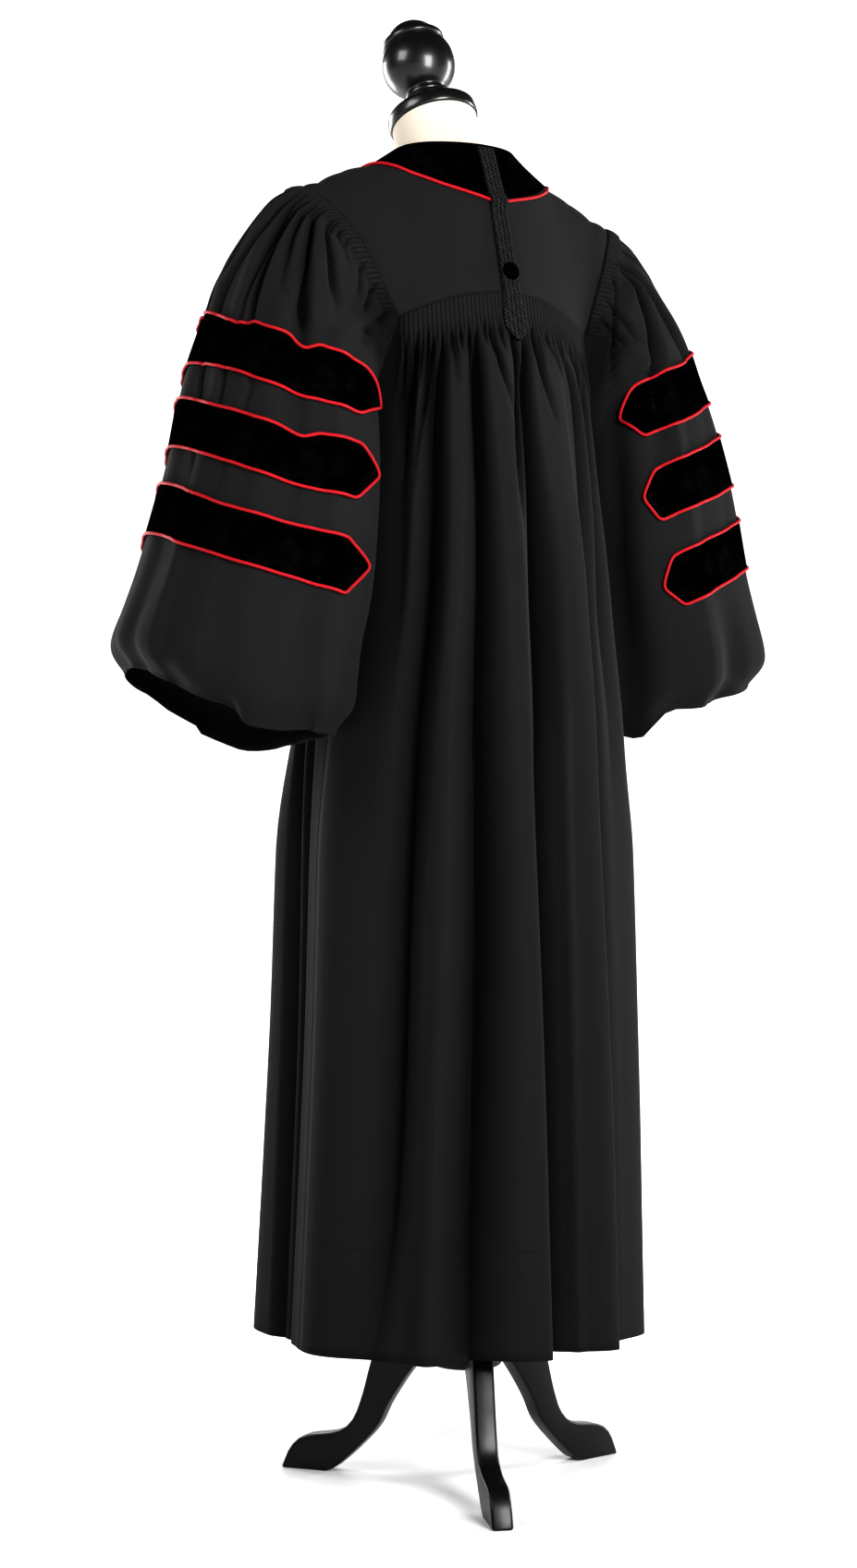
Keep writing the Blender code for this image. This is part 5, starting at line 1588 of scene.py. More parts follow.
@dataclass
class Robe:
    """Yoke, back, fronts, collar and their trimmings."""

    shoulders: Shoulders = field(default_factory=Shoulders)
    body: Body = field(default_factory=Body)

    def build(self) -> None:
        """Lays every piece of the body."""
        self.lay_yoke()
        self.lay_back()
        self.lay_fronts()
        self.lay_collar()
        self.cord_seams()

    def cord_seams(self, radius: float = 0.0011) -> None:
        """The thin corded seams round the armholes and along the arched back.

        Args:
            radius: The cords' radius.
        """
        turns = np.linspace(0.0, 1.0, 241)[:-1]
        for side in Side:
            route = armhole(turns) * side.mirror
            normals = np.broadcast_to(np.array((side.value, 0.0, 0.4)), route.shape)
            name = f"armhole_seam_{side.word}"
            self.shade_seam(lay_tube(name, route, normals, radius, Slot.CLOTH, True, 8))
        shares = np.linspace(-0.985, 0.985, 121)
        route = with_sign(shares, arch(np.abs(shares)))
        normals = np.broadcast_to(np.array((0.0, 1.0, 0.3)), route.shape)
        self.shade_seam(lay_tube("arched_seam", route, normals, radius, Slot.CLOTH, False, 8))

    def shade_seam(self, obj: Object, share: float = 0.72) -> None:
        """Marks a seam's cord as lying in the shade of the cloths it joins."""
        mark(obj.data, "painted_shade", np.full(len(obj.data.vertices), share))

    def edge_share(self, fan: Array) -> Array:
        """Share at which the yoke ends, a seam's gap short of its edge."""
        length = np.linalg.norm(self.shoulders.edge(fan) - self.shoulders.collar(fan), axis=-1)
        return 1.0 - 0.7 * GAP / length

    def lay_yoke(self) -> None:
        """The smooth yoke."""
        fans = np.linspace(-125.0, 125.0, 201)[None, :]
        shares = np.linspace(0.1, 1.0, 34)[:, None]
        limit = self.edge_share(fans)
        points = self.shoulders.at(*np.broadcast_arrays(fans, np.minimum(shares, limit)))
        obj = lay_grid("yoke_shell", points, Slot.CLOTH)
        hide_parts("yoke")

    def lay_back(self) -> None:
        """The fluted back."""
        corner = self.body.corner_angle
        middle = np.linspace(-corner, corner, self.body.ribs * 8 + 1)
        side = np.linspace(corner, 89.96, 21)[1:]
        angles = np.concatenate([-side[::-1], middle, side])[None, :]
        drops = np.concatenate([np.linspace(0.0, 0.07, 24), np.linspace(0.07, 0.2, 37)[1:],
                                np.linspace(0.2, 1.0, 68)[1:]])[:, None]
        grid = np.broadcast_arrays(angles, drops)
        obj = lay_grid("back_panel", self.body.at(*grid), Slot.CLOTH, coarse_from=23, hem=0.0,
                       painted_shade=self.body.painted_shade(*grid))
        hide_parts("back")

    def lay_fronts(self, below_arm: int = 29) -> None:
        """The two plain fronts.

        Args:
            below_arm: How many columns of points lie below the arm.
        """
        for side in Side:
            chest_from = self.body.chest_angle
            angles = np.concatenate([np.linspace(90.04, chest_from, below_arm + 1),
                                     np.linspace(chest_from, 179.9, 70)[1:]])
            drops = np.concatenate([np.linspace(0.0, 0.2, 24), np.linspace(0.2, 1.0, 40)[1:]])
            grid = np.meshgrid(angles * side.value, drops)
            chest_fans = 180.0 - self.shoulders.chest_fan
            fans = 180.0 - (180.0 - angles[below_arm:]) * chest_fans / (180.0 - chest_from)
            shares = np.linspace(0.1, 1.0, 26)[:-1]
            upper = self.shoulders.at(*np.meshgrid(fans, shares))
            obj = self.join_front(side, upper, self.body.at(*grid) * side.mirror, below_arm)
            self.shade_front(obj, len(upper.reshape(-1, 3)), self.body.painted_shade(*grid))
            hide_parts(f"front_{side.name.lower()}")

    def join_front(self, side: Side, upper: Array, lower: Array, offset: int) -> Object:
        """One front from its upper and lower grids, which share a line.

        Args:
            side: Which side.
            upper: The grid over the chest line.
            lower: The grid below it.
            offset: The lower grid's column where the upper begins.

        Returns:
            The front.
        """
        name = f"front_panel_{side.word}"
        rows_up, columns_up = upper.shape[:2]
        rows, columns = lower.shape[:2]
        points = np.concatenate([upper.reshape(-1, 3), lower.reshape(-1, 3)])
        points = points * side.mirror
        low = np.arange(rows * columns).reshape(rows, columns) + rows_up * columns_up
        top = np.concatenate([np.arange(rows_up * columns_up).reshape(rows_up, columns_up), low[:1, offset:]])
        faces = np.array(quads(top) + quads(low))
        if side is Side.RIGHT:
            faces = faces[:, ::-1]
        mesh = bpy.data.meshes.new(name)
        mesh.from_pydata(points + AXIS, [], faces.tolist())
        flat = np.stack([points[:, 0], points[:, 2] - self.body.hem_height], axis=-1)
        lay_out(mesh, flat[faces.reshape(-1)])
        mesh.shade_smooth()
        return add(name, mesh)

    def shade_front(self, obj: Object, above: int, shade: Array) -> None:
        """Marks the painted shade in a front's folds, and gives it its thickness and finish.

        Args:
            obj: The piece.
            above: Points over the chest line.
            shade: The painted shade of those below.
        """
        mark(obj.data, "painted_shade", np.concatenate([np.zeros(above), shade.reshape(-1)]))
        thicken(obj, CLOTH)
        dress(obj, Slot.CLOTH)

    def lay_collar(self) -> None:
        """The velvet collar and its piping."""
        fans = np.linspace(-179.0, 179.0, 289)[None, :]
        shares = np.linspace(0.0, self.shoulders.collar_share, 17)[:, None]
        normals = self.shoulders.normal(self.shoulders.base, fans, np.full_like(fans, 0.1))
        points = self.shoulders.base(fans, shares) + normals * (GAP + VELVET)
        obj = lay_grid("collar_velvet", points, Slot.VELVET, thickness=VELVET)
        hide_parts("collar")
        line, share = fans[0], np.full_like(fans[0], 0.322)
        route = self.shoulders.base(line, share)
        normals = self.shoulders.normal(self.shoulders.base, line, share)
        piping = lay_tube("collar_edge_piping", route + normals * 0.0024, normals, 0.0018, Slot.PIPING, False)
        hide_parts("collar_piping")


@dataclass(frozen=True)
class Bar:
    """A velvet bar's upper and lower lines from tip to tip, as turns and drops of its sleeve."""

    upper: Rows
    lower: Rows

    def outline(self, corner: float = 0.011) -> Array:
        """The closed outline as evenly spread turns and drops, its corners rounded.

        Args:
            corner: How far along the outline each place is evened out, in turns.

        Returns:
            Turn and drop of each place, starting at the front tip along the upper line.
        """
        loop = np.array([*self.upper, *self.lower[-2:0:-1], self.upper[0]], float) / PARTS
        size = loop * np.array((1.0, DROP_PER_TURN))
        lengths = run_lengths(size)
        places = np.linspace(0.0, lengths[-1], OUTLINE_POINTS + 1)[:-1]
        even = np.stack([np.interp(places, lengths, loop[:, axis]) for axis in range(2)], axis=-1)
        reach = max(1, round(corner / (lengths[-1] / OUTLINE_POINTS)))
        weights = np.hanning(2 * reach + 3)[1:-1]
        rounded = sum(weight * np.roll(even, shift - reach, axis=0) for shift, weight in enumerate(weights))
        return rounded / weights.sum()


# each line's turns and drops, in thousandths
BARS: dict[Side, tuple[Bar, ...]] = {
    Side.LEFT: (
        Bar(((-362, 368), (-330, 338), (-210, 322), (-120, 321.5), (-18, 329), (73, 337), (121, 327),
             (176, 327), (209, 338), (232, 327), (284, 333), (323, 337), (353, 349), (366, 370)),
            ((-362, 368), (-325, 428), (-210, 426), (-100, 423), (62, 426), (168, 432), (258, 434),
             (310, 433), (345, 400), (366, 370))),
        Bar(((-342, 533), (-308, 490), (-180, 486), (-60, 489), (75, 502), (159, 505), (211, 512),
             (237, 498), (309, 489), (346, 527)),
            ((-342, 533), (-302, 590), (-115.5, 574), (90.5, 600), (180, 606), (235, 605), (302, 596),
             (346, 527))),
        Bar(((-328, 705), (-292, 660), (-115.5, 640), (107, 681), (188, 682), (291, 675), (331, 709)),
            ((-328, 705), (-290, 752), (-119, 731), (55, 767.5), (125, 775), (198, 779), (291, 779),
             (331, 709))),
    ),
    Side.RIGHT: (
        Bar(((-362, 350), (-328, 308), (-200, 292), (0, 283), (173, 271), (290, 309), (338, 315),
             (367, 346)),
            ((-362, 350), (-325, 404), (-150, 398), (0, 390), (178, 386), (244, 404), (331, 418),
             (367, 346))),
        Bar(((-342, 517), (-308, 472), (-150, 459), (0, 455), (177, 457), (266, 476), (324, 489),
             (344, 533)),
            ((-342, 517), (-302, 576), (-100, 563), (0, 560), (172, 562), (263, 578), (321, 592),
             (344, 533))),
        Bar(((-328, 692), (-292, 646), (-100, 628), (0, 626), (176, 635), (252, 650), (309, 667),
             (326, 723)),
            ((-328, 692), (-290, 747), (-100, 731), (0, 728), (174, 734), (240, 751), (299, 768),
             (326, 723))),
    ),
}


@dataclass
class Sleeve:
    """One bell sleeve with its three velvet bars."""

    side: Side
    bar_lift: float = 0.0009
    piping_radius: float = 0.0018
    tip_inset: float = 0.0006

    def __post_init__(self) -> None:
        """The sleeve's own surface."""
        self.surface = SleeveSurface(side=self.side)

    def build(self) -> None:
        """Lays the sleeve and its bars."""
        name = self.side.word
        ribbed = np.linspace(self.surface.rib_from, self.surface.rib_to, self.surface.ribs * 6 + 1)
        under = np.linspace(BACK_CORNER, FRONT_CORNER, 61)[1:-1]
        turns = np.concatenate([ribbed, under])
        drops = np.concatenate([np.linspace(0.0, 0.048, 14), np.linspace(0.048, 0.3, 58)[1:],
                                np.linspace(0.3, 0.9, 50)[1:], np.linspace(0.9, 1.0, 22)[1:]])
        grid = np.meshgrid(turns, drops)
        obj = lay_grid(f"sleeve_bell_{name}", self.surface.at(*grid), Slot.CLOTH, self.surface.outward,
                       closed=True, coarse_from=13, painted_shade=self.surface.painted_shade(*grid))
        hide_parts(f"sleeve_{name}")
        for number, bar in enumerate(BARS[self.side], 1):
            self.lay_bar(number, bar)

    def lay_bar(self, number: int, bar: Bar) -> None:
        """One velvet bar and the piping round it.

        Args:
            number: Its place from the top.
            bar: Its outline.
        """
        name = f"{self.side.word}_{number}"
        outline = bar.outline()
        first, last = int(np.argmin(outline[:, 0])), int(np.argmax(outline[:, 0]))
        ring = np.roll(outline, -first, axis=0)
        turning = (last - first) % len(outline)
        upper, lower = ring[: turning + 1], np.concatenate([ring[turning:], ring[:1]])[::-1]
        low, high = ring[0, 0] + self.tip_inset, ring[turning, 0] - self.tip_inset
        turns = lerp(low, high, (1.0 - np.cos(np.linspace(0.0, math.pi, 45))) / 2.0)
        turns = np.unique(np.concatenate([turns, np.linspace(low, high, 180)]))
        tops = np.interp(turns, np.maximum.accumulate(upper[:, 0]), upper[:, 1])
        bottoms = np.interp(turns, np.maximum.accumulate(lower[:, 0]), lower[:, 1])
        drop = lerp(tops[None, :], bottoms[None, :], np.linspace(0.0, 1.0, 17)[:, None])
        grid = np.broadcast_to(turns[None, :], drop.shape)
        points = self.surface.bridge(grid, drop, self.bar_lift + VELVET)
        obj = lay_grid(f"bar_velvet_{name}", points, Slot.VELVET, self.surface.outward, thickness=VELVET)
        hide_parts(f"bar_{name}")
        route = self.surface.bridge(ring[:, 0], ring[:, 1], self.bar_lift + self.piping_radius * 1.15)
        normals = self.surface.normal(self.surface.base, ring[:, 0], ring[:, 1])
        piping = lay_tube(f"bar_edge_piping_{name}", route, normals, self.piping_radius, Slot.PIPING, True)
        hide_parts(f"bar_piping_{name}")
        f"sleeve_bell_{self.side.name.lower()}"


# -------- the strap and its button


@dataclass
class Strap:
    """The knitted strap down centre back and the covered button that holds it."""

    shoulders: Shoulders = field(default_factory=Shoulders)
    body: Body = field(default_factory=Body)
    widths: Rows = (
        (1.297, 0.0018), (1.3, 0.0052), (1.31, 0.0136), (1.322, 0.0166), (1.331, 0.015),
        (1.34, 0.0136), (1.356, 0.0128), (1.376, 0.0124), (1.418, 0.0116), (1.46, 0.0112),
        (1.524, 0.0112),
    )
    thickness: float = 0.0024
    wale: float = 0.0056
    course: float = 0.0046
    relief: float = 0.0012
    button_height: float = 1.376
    button_radius: float = 10.4

    def depth(self, height: Array) -> Array:
        """How far back the strap's underside lies at centre back.

        Args:
            height: Height over the floor.

        Returns:
            The depth.
        """
        heights = np.array((1.295, 1.316, 1.351, 1.376, 1.42, 1.448, 1.46, 1.472, 1.5, 1.527))
        fan = np.zeros(1)
        collar, neck = self.shoulders.collar(fan)[0], self.shoulders.neck(fan)[0]
        drops = (ARCH_HEIGHT - heights[:2]) / ARCH_FALL * self.body.tube_drop
        low = self.body.at(np.full(2, 0.0), drops)[:, 1] + 0.0036
        seam = ARCH_Y + 0.0026
        fall = collar[2] - ARCH_HEIGHT
        yoke = [lerp(collar[1], ARCH_Y, (collar[2] - z) / fall) + 0.0022 for z in heights[3:6]]
        rise = neck[2] - collar[2]
        over = [lerp(collar[1], neck[1], (z - collar[2]) / rise) + 0.0034 for z in heights[7:]]
        rows = np.array([*low, seam, *yoke, collar[1] + 0.0064, *over])
        return along(list(zip(heights, rows)), height)[..., 0]

    def build(self) -> None:
        """Knits the strap and sews the button on."""
        heights = np.linspace(1.524, 1.2972, 400)
        across = np.linspace(-1.0, 1.0, 41)
        grid, height = np.meshgrid(across, heights)
        half = along(self.widths, height)[..., 0]
        picot = 1.0 + 0.075 * np.sin(height / self.course * TURN) * np.abs(grid) ** 5
        x = half * grid * picot
        path = self.depth(height)
        stitch = self.stitches(x, height)
        y = path + self.thickness + self.relief * stitch - self.relief / 2.0
        y = y - self.relief * np.abs(grid) ** 6
        obj = lay_grid("back_strap_knit", place(-x, y, height), Slot.BRAID, -1.0, thickness=0.0021)
        # the stitches' relief, which the braid's finish turns into painted shade between them
        values = np.concatenate([stitch.reshape(-1)] * 2)[: len(obj.data.vertices)]
        mark(obj.data, "depth", bounded(values))
        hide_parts("back_strap")
        button = self.sew_button()

    def stitches(self, x: Array, height: Array) -> Array:
        """The knit's relief: four leaning wales of stitches, 0 between them and 1 on top.

        Args:
            x: Place across the strap.
            height: Height over the floor.

        Returns:
            The relief.
        """
        wale = x / self.wale
        lean = np.where(np.mod(np.floor(wale), 2.0) == 0.0, 1.0, -1.0)
        within = np.mod(wale, 1.0) - 0.5
        course = (height + lean * within * 0.0066) / self.course
        wobble = 0.1 * np.sin(height * 910.0 + x * 700.0) + 0.08 * np.sin(height * 1730.0 - x * 1300.0)
        loop = np.abs(np.sin((course + wobble) * math.pi)) ** 1.1
        ridge = np.abs(np.cos(within * math.pi)) ** 0.45
        return bounded(loop * ridge * (1.0 + wobble))

    def sew_button(self) -> Object:
        """A domed button covered in velvet, with a rolled edge.

        Returns:
            The button.
        """
        radius = self.button_radius
        dome = ((0.9, 0), (1, 1), (1, 2), (0.95, 2.8), (0.9, 3), (0.86, 3.6), (0.72, 4.8), (0.5, 5.7),
                (0.26, 6.2), (0.05, 6.3))
        obj = turned("velvet_button", [(radius * share, height) for share, height in dome], 48)
        seat = float(self.depth(np.array(self.button_height))) + self.thickness + GAP
        lean = math.atan2(ARCH_Y - 0.058, 1.46 - ARCH_HEIGHT)
        set_in_place(obj, (0.0, seat + AXIS_Y, self.button_height), (lean - TURN / 4.0, 0.0, 0.0))
        add_lay(obj)
        dress(obj, Slot.VELVET)
        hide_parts("back_button")
        return obj


# -------- turned and shaped hard pieces


def turned(name: str, profile: Sequence[tuple[float, float]], sides: int) -> Object:
    """A turned piece: a disc drawn up ring by ring, closed at both ends.

    Args:
        name: The piece's name.
        profile: Rows of radius and height in millimetres, from the bottom up.
        sides: How many sides it is turned with.

    Returns:
        The piece, about the world's upright axis.
    """
    bpy.ops.object.select_all(action="DESELECT")
    profile = [(radius / PARTS, height / PARTS) for radius, height in profile]
    radius, height = profile[0]
    bpy.ops.mesh.primitive_circle_add(vertices=sides, radius=radius, fill_type="NGON",
                                      location=(0.0, 0.0, height))
    obj = bpy.context.active_object
    obj.name = obj.data.name = name
    bpy.ops.object.transform_apply(location=True, rotation=True, scale=True)
    bpy.ops.object.mode_set(mode="EDIT")
    bpy.ops.mesh.select_all(action="SELECT")
    for next_radius, next_height in profile[1:]:
        bpy.ops.mesh.extrude_region_move(TRANSFORM_OT_translate={"value": (0.0, 0.0, next_height - height)})
        share = next_radius / radius
        bpy.ops.transform.resize(value=(share, share, 1.0), center_override=(0.0, 0.0, next_height))
        radius, height = next_radius, next_height
    bpy.ops.mesh.select_all(action="SELECT")
    bpy.ops.mesh.normals_make_consistent(inside=False)
    bpy.ops.object.mode_set(mode="OBJECT")
    bpy.ops.object.shade_smooth_by_angle(angle=math.radians(38.0))
    return obj


def set_in_place(obj: Object, location: tuple[float, float, float],
                 rotation: tuple[float, float, float] = (0.0, 0.0, 0.0)) -> None:
    """Puts a piece where it belongs and settles its place into its mesh.

    Args:
        obj: The piece.
        location: Where it goes.
        rotation: How it is turned.
    """
    select_only(obj)
    obj.location, obj.rotation_euler = location, rotation
    bpy.ops.object.transform_apply(location=True, rotation=True, scale=True)


def add_lay(obj: Object) -> None:
    """Gives a small cloth-covered piece its cloth's lengths, seen from its front.

    Args:
        obj: The piece.
    """
    mesh = obj.data
    vertex = np.empty(len(mesh.loops), dtype=np.int32)
    mesh.loops.foreach_get("vertex_index", vertex)
    places = np.empty(len(mesh.vertices) * 3)
    mesh.vertices.foreach_get("co", places)
    places = places.reshape(-1, 3)[vertex]
    lay_out(mesh, np.stack([places[:, 0], places[:, 2]], axis=-1))


def bow(radius: float, centre: float, start: float, end: float, count: int) -> list[tuple[float, float]]:
    """Points of a profile's round stretch, by angles in degrees from the top."""
    angles = np.radians(np.linspace(start, end, count))
    return [(float(radius * math.sin(a)), float(centre + radius * math.cos(a))) for a in angles]


@dataclass
class Finial:
    """The lacquered cap on the form's neck and the turned knob above it."""

    centre: tuple[float, float, float] = (0.0, -0.068, 1.577)
    lean: float = math.radians(23.0)
    sides: int = 112

    def build(self) -> None:
        """Turns the cap and the knob."""
        cap = [(47, -9.5), (51, -9.5), (51.9, -8.8), (52.6, -7.2), (53, -4.5),
               (53.1, 0.5), (52.8, 3), (52, 5.1), (50.7, 6.8), (48.8, 8.1),
               (46, 9.2), (42, 10), (37, 10.7), (32.5, 11.4), (30.2, 12.1),
               (29.2, 13.2), (28.8, 14.8), (28.7, 22.5), (28.4, 24), (27.7, 25),
               (26.6, 25.5), (10, 25.5)]
        self.turn("lacquered_cap", cap, "neck_cap")
        knob = [(18, 25.7), (23.2, 25.7), (24.1, 26), (24.9, 26.8), (25.4, 28),
                (25.6, 29.3), (25.4, 30.6), (24.9, 31.7), (24.1, 32.5), (23.3, 32.9),
                (22.8, 33.4), (22.7, 34.1)]
        ball = bow(43.4, 72.0, 147.5, 52.5, 34)
        rim = [(35.2, 98.8), (36.1, 99.4), (36.7, 100.4), (37, 101.8), (37, 103.4),
               (36.7, 104.8), (36, 106), (35, 106.9), (33.6, 107.5), (32.2, 107.8),
               (31.1, 108.2), (30.5, 109)]
        dome = bow(33.0, 96.5, 66.0, 4.0, 16)
        self.turn("turned_knob", knob + ball + rim + dome, "finial")

    def turn(self, name: str, profile: Sequence[tuple[float, float]], node_name: str) -> None:
        """One turned piece, leaning with the neck.

        Args:
            name: The piece's name.
            profile: Rows of radius and height in millimetres, from the bottom up.
            node_name: The solid it shows.
        """
        obj = turned(name, profile, self.sides)
        x, y, z = self.centre
        set_in_place(obj, (x, y + AXIS_Y, z), (self.lean, 0.0, 0.0))
        dress(obj, Slot.LACQUER)
        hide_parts(node_name)


@dataclass
class Form:
    """The padded form's firm body: hips, waist, shoulders and a leaning neck."""

    rings: Rows = (
        # centre y, height, half width, half depth, lean in degrees
        (-0.024, 0.86, 0.125, 0.096, 0.0),
        (-0.024, 0.864, 0.136, 0.104, 0.0),
        (-0.024, 0.872, 0.14, 0.1075, 0.0),
        (-0.024, 0.885, 0.141, 0.1085, 0.0),
        (-0.024, 0.93, 0.136, 0.104, 0.0),
        (-0.022, 0.98, 0.12, 0.09, 0.0),
        (-0.02, 1.03, 0.11, 0.082, 0.0),
        (-0.018, 1.12, 0.112, 0.082, 0.0),
        (-0.025, 1.24, 0.12, 0.082, 0.0),
        (-0.029, 1.32, 0.132, 0.084, 0.0),
        (-0.031, 1.39, 0.142, 0.08, 0.0),
        (-0.033, 1.435, 0.135, 0.07, 2.0),
        (-0.0345, 1.46, 0.108, 0.062, 3.0),
        (-0.0355, 1.48, 0.084, 0.056, 4.0),
        (-0.037, 1.495, 0.068, 0.0515, 5.0),
        (-0.0395, 1.509, 0.059, 0.0492, 7.0),
        (-0.044, 1.522, 0.054, 0.0485, 11.0),
        (-0.0495, 1.535, 0.0515, 0.0487, 15.0),
        (-0.056, 1.548, 0.0503, 0.0492, 18.0),
        (-0.0612, 1.5595, 0.05, 0.0497, 21.0),
        (-0.0641, 1.5678, 0.05, 0.05, 23.0),
    )
    sides: int = 112

    def build(self) -> None:
        """Draws the form up ring by ring."""
        bpy.ops.object.select_all(action="DESELECT")
        y, z, half_width, half_depth = self.rings[0][:4]
        bpy.ops.mesh.primitive_circle_add(vertices=self.sides, radius=1.0, fill_type="NGON")
        obj = bpy.context.active_object
        obj.name = obj.data.name = "form_body"
        obj.scale = (half_width, half_depth, 1.0)
        obj.location = (0.0, y + AXIS_Y, z)
        bpy.ops.object.transform_apply(location=True, rotation=True, scale=True)
        bpy.ops.object.mode_set(mode="EDIT")
        bpy.ops.mesh.select_all(action="SELECT")
        for row in self.rings[1:]:
            bpy.ops.mesh.extrude_region_move(
                TRANSFORM_OT_translate={"value": (0.0, row[0] - y, row[1] - z)})
            centre = (0.0, row[0] + AXIS_Y, row[1])
            growth = (row[2] / half_width, row[3] / half_depth, 1.0)
            bpy.ops.transform.resize(value=growth, center_override=centre)
            y, z, half_width, half_depth = row[:4]
        bpy.ops.mesh.select_all(action="SELECT")
        bpy.ops.mesh.normals_make_consistent(inside=False)
        bpy.ops.object.mode_set(mode="OBJECT")
        self.lean_rings(obj)
        bpy.ops.object.shade_smooth_by_angle(angle=math.radians(40.0))
        dress(obj, Slot.COVER)
        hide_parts("dress_form")

    def lean_rings(self, obj: Object) -> None:
        """Tips each ring of the neck back, as the neck leans.

        Args:
            obj: The piece.
        """
        places = np.empty(len(obj.data.vertices) * 3)
        obj.data.vertices.foreach_get("co", places)
        places = places.reshape(-1, 3)
        for y, z, _, _, lean in self.rings:
            if lean == 0.0:
                continue
            ring = np.abs(places[:, 2] - z) < 1e-5
            away = places[ring, 1] - (y + AXIS_Y)
            places[ring, 1] = y + AXIS_Y + away * math.cos(math.radians(lean))
            places[ring, 2] = z + away * math.sin(math.radians(lean))
        obj.data.vertices.foreach_set("co", places.reshape(-1))
        obj.data.update()


@dataclass
class Stand:
    """The column, its hub and three flat legs with rounded edges."""

    column_radius: float = 12.5
    leg_thickness: float = 0.024
    leg_round: float = 0.0032
    first_leg: float = math.radians(64.5)
    upper_edge: Rows = (
        (0.0418, 0.215), (0.078, 0.2), (0.104, 0.164), (0.116, 0.126), (0.126, 0.09),
        (0.138, 0.062), (0.158, 0.047), (0.198, 0.039), (0.215, 0.026), (0.227, 0.0))
    under_edge: Rows = (
        (0.0418, 0.152), (0.067, 0.122), (0.092, 0.085), (0.107, 0.056), (0.131, 0.03),
        (0.158, 0.006), (0.171, 0.0))

    def build(self) -> None:
        """Turns the column and the hub, and shapes the legs."""
        r = self.column_radius
        column_profile = ((r * 0.6, 235.3), (r, 235.3), (r, 240), (r, 550), (r, 852), (r, 859),
                          (r * 0.9, 859.7))
        self.finish(turned("steel_column", column_profile, 48), "column")
        hub = ((30, 134), (35.2, 134), (37.2, 134.5), (39, 135.6), (40.4, 137.4),
               (41.2, 139.6), (41.5, 142), (41.5, 214), (41.2, 216.5), (40.4, 218.6),
               (39, 220.2), (35, 223.5), (31, 227), (28.5, 230.5), (26.2, 233),
               (24, 234.5), (22.5, 235), (14, 235))
        self.finish(turned("turned_hub", hub, 72), "hub")
        leg = self.shape_leg()
        legs = [leg, *(add("curved_leg", leg.data.copy()) for _ in range(2))]
        for number, piece in enumerate(legs):
            piece.name = piece.data.name = f"flat_leg_{number + 1}"
            set_in_place(piece, (0.0, AXIS_Y, 0.0), (0.0, 0.0, self.first_leg + number * TURN / 3.0))
            self.finish(piece, f"leg_{number + 1}", lift=0.0)

    def finish(self, obj: Object, node_name: str, lift: float = AXIS_Y) -> None:
        """Places a part of the stand and blacks it.

        Args:
            obj: The piece.
            node_name: The solid it shows.
            lift: How far it is moved along y.
        """
        if lift:
            set_in_place(obj, (0.0, lift, 0.0))
        dress(obj, Slot.STAND)
        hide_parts(node_name)

    def edge(self, rows: Rows, count: int) -> Array:
        """Points evenly spread on a smooth curve through a leg's edge points.

        Args:
            rows: The edge's points.
            count: How many are wanted.

        Returns:
            The points.
        """
        keyed = [(float(index), *row) for index, row in enumerate(rows)]
        fine = along(keyed, np.linspace(0.0, len(rows) - 1.0, 400))
        lengths = run_lengths(fine)
        wanted = np.linspace(0.0, lengths[-1], count)
        return np.stack([np.interp(wanted, lengths, fine[:, axis]) for axis in range(2)], axis=-1)

    def shape_leg(self) -> Object:
        """One leg, drawn out from the hub section by section, with its long edges rounded.

        Returns:
            The leg.
        """
        count = 30
        upper, under = self.edge(self.upper_edge, count), self.edge(self.under_edge, count)
        bpy.ops.object.select_all(action="DESELECT")
        bpy.ops.mesh.primitive_plane_add(size=1.0, rotation=(0.0, math.pi / 2.0, 0.0))
        obj = bpy.context.active_object
        obj.name = obj.data.name = "curved_leg"
        tall = upper[0][1] - under[0][1]
        obj.scale = (tall, self.leg_thickness, 1.0)
        obj.location = (float(upper[0][0]), 0.0, float((upper[0][1] + under[0][1]) / 2.0))
        bpy.ops.object.transform_apply(location=True, rotation=True, scale=True)
        bpy.ops.object.mode_set(mode="EDIT")
        bpy.ops.mesh.select_all(action="SELECT")
        for index in range(1, count):
            bpy.ops.mesh.extrude_region_move(TRANSFORM_OT_translate={"value": (0.0, 0.0, 0.0)})
            self.move_edge(obj, upper[index - 1], upper[index], under[index - 1])
            self.move_edge(obj, under[index - 1], under[index], upper[index])
        bpy.ops.mesh.select_all(action="SELECT")
        bpy.ops.mesh.normals_make_consistent(inside=False)
        self.round_edges(obj)
        bpy.ops.object.mode_set(mode="OBJECT")
        bpy.ops.object.shade_smooth_by_angle(angle=math.radians(35.0))
        return obj

    def move_edge(self, obj: Object, start: Array, end: Array, other: Array) -> None:
        """Moves the upper or the under pair of the newest section, which stays selected after.

        Args:
            obj: The piece.
            start: The pair's place.
            end: Its new place.
            other: The other pair's place.
        """
        editor = bmesh.from_edit_mesh(obj.data)
        chosen = [vert for vert in editor.verts if vert.select]
        chosen.sort(key=lambda vert: (vert.co.x - start[0]) ** 2 + (vert.co.z - start[1]) ** 2)
        for vert in chosen[2:]:
            vert.select_set(False)
        editor.select_flush(False)
        bmesh.update_edit_mesh(obj.data)
        step = (float(end[0] - start[0]), 0.0, float(end[1] - start[1]))
        bpy.ops.transform.translate(value=step)
        editor = bmesh.from_edit_mesh(obj.data)
        near = [vert for vert in editor.verts
                if any(math.hypot(vert.co.x - x, vert.co.z - z) < 1e-6 for x, z in (end, other))]
        for vert in editor.verts:
            vert.select_set(False)
        editor.select_mode = {"VERT"}
        newest = sorted(near, key=lambda vert: vert.index)[-4:]
        for vert in editor.verts:
            vert.select = vert in newest
        editor.select_flush(True)
        bmesh.update_edit_mesh(obj.data)

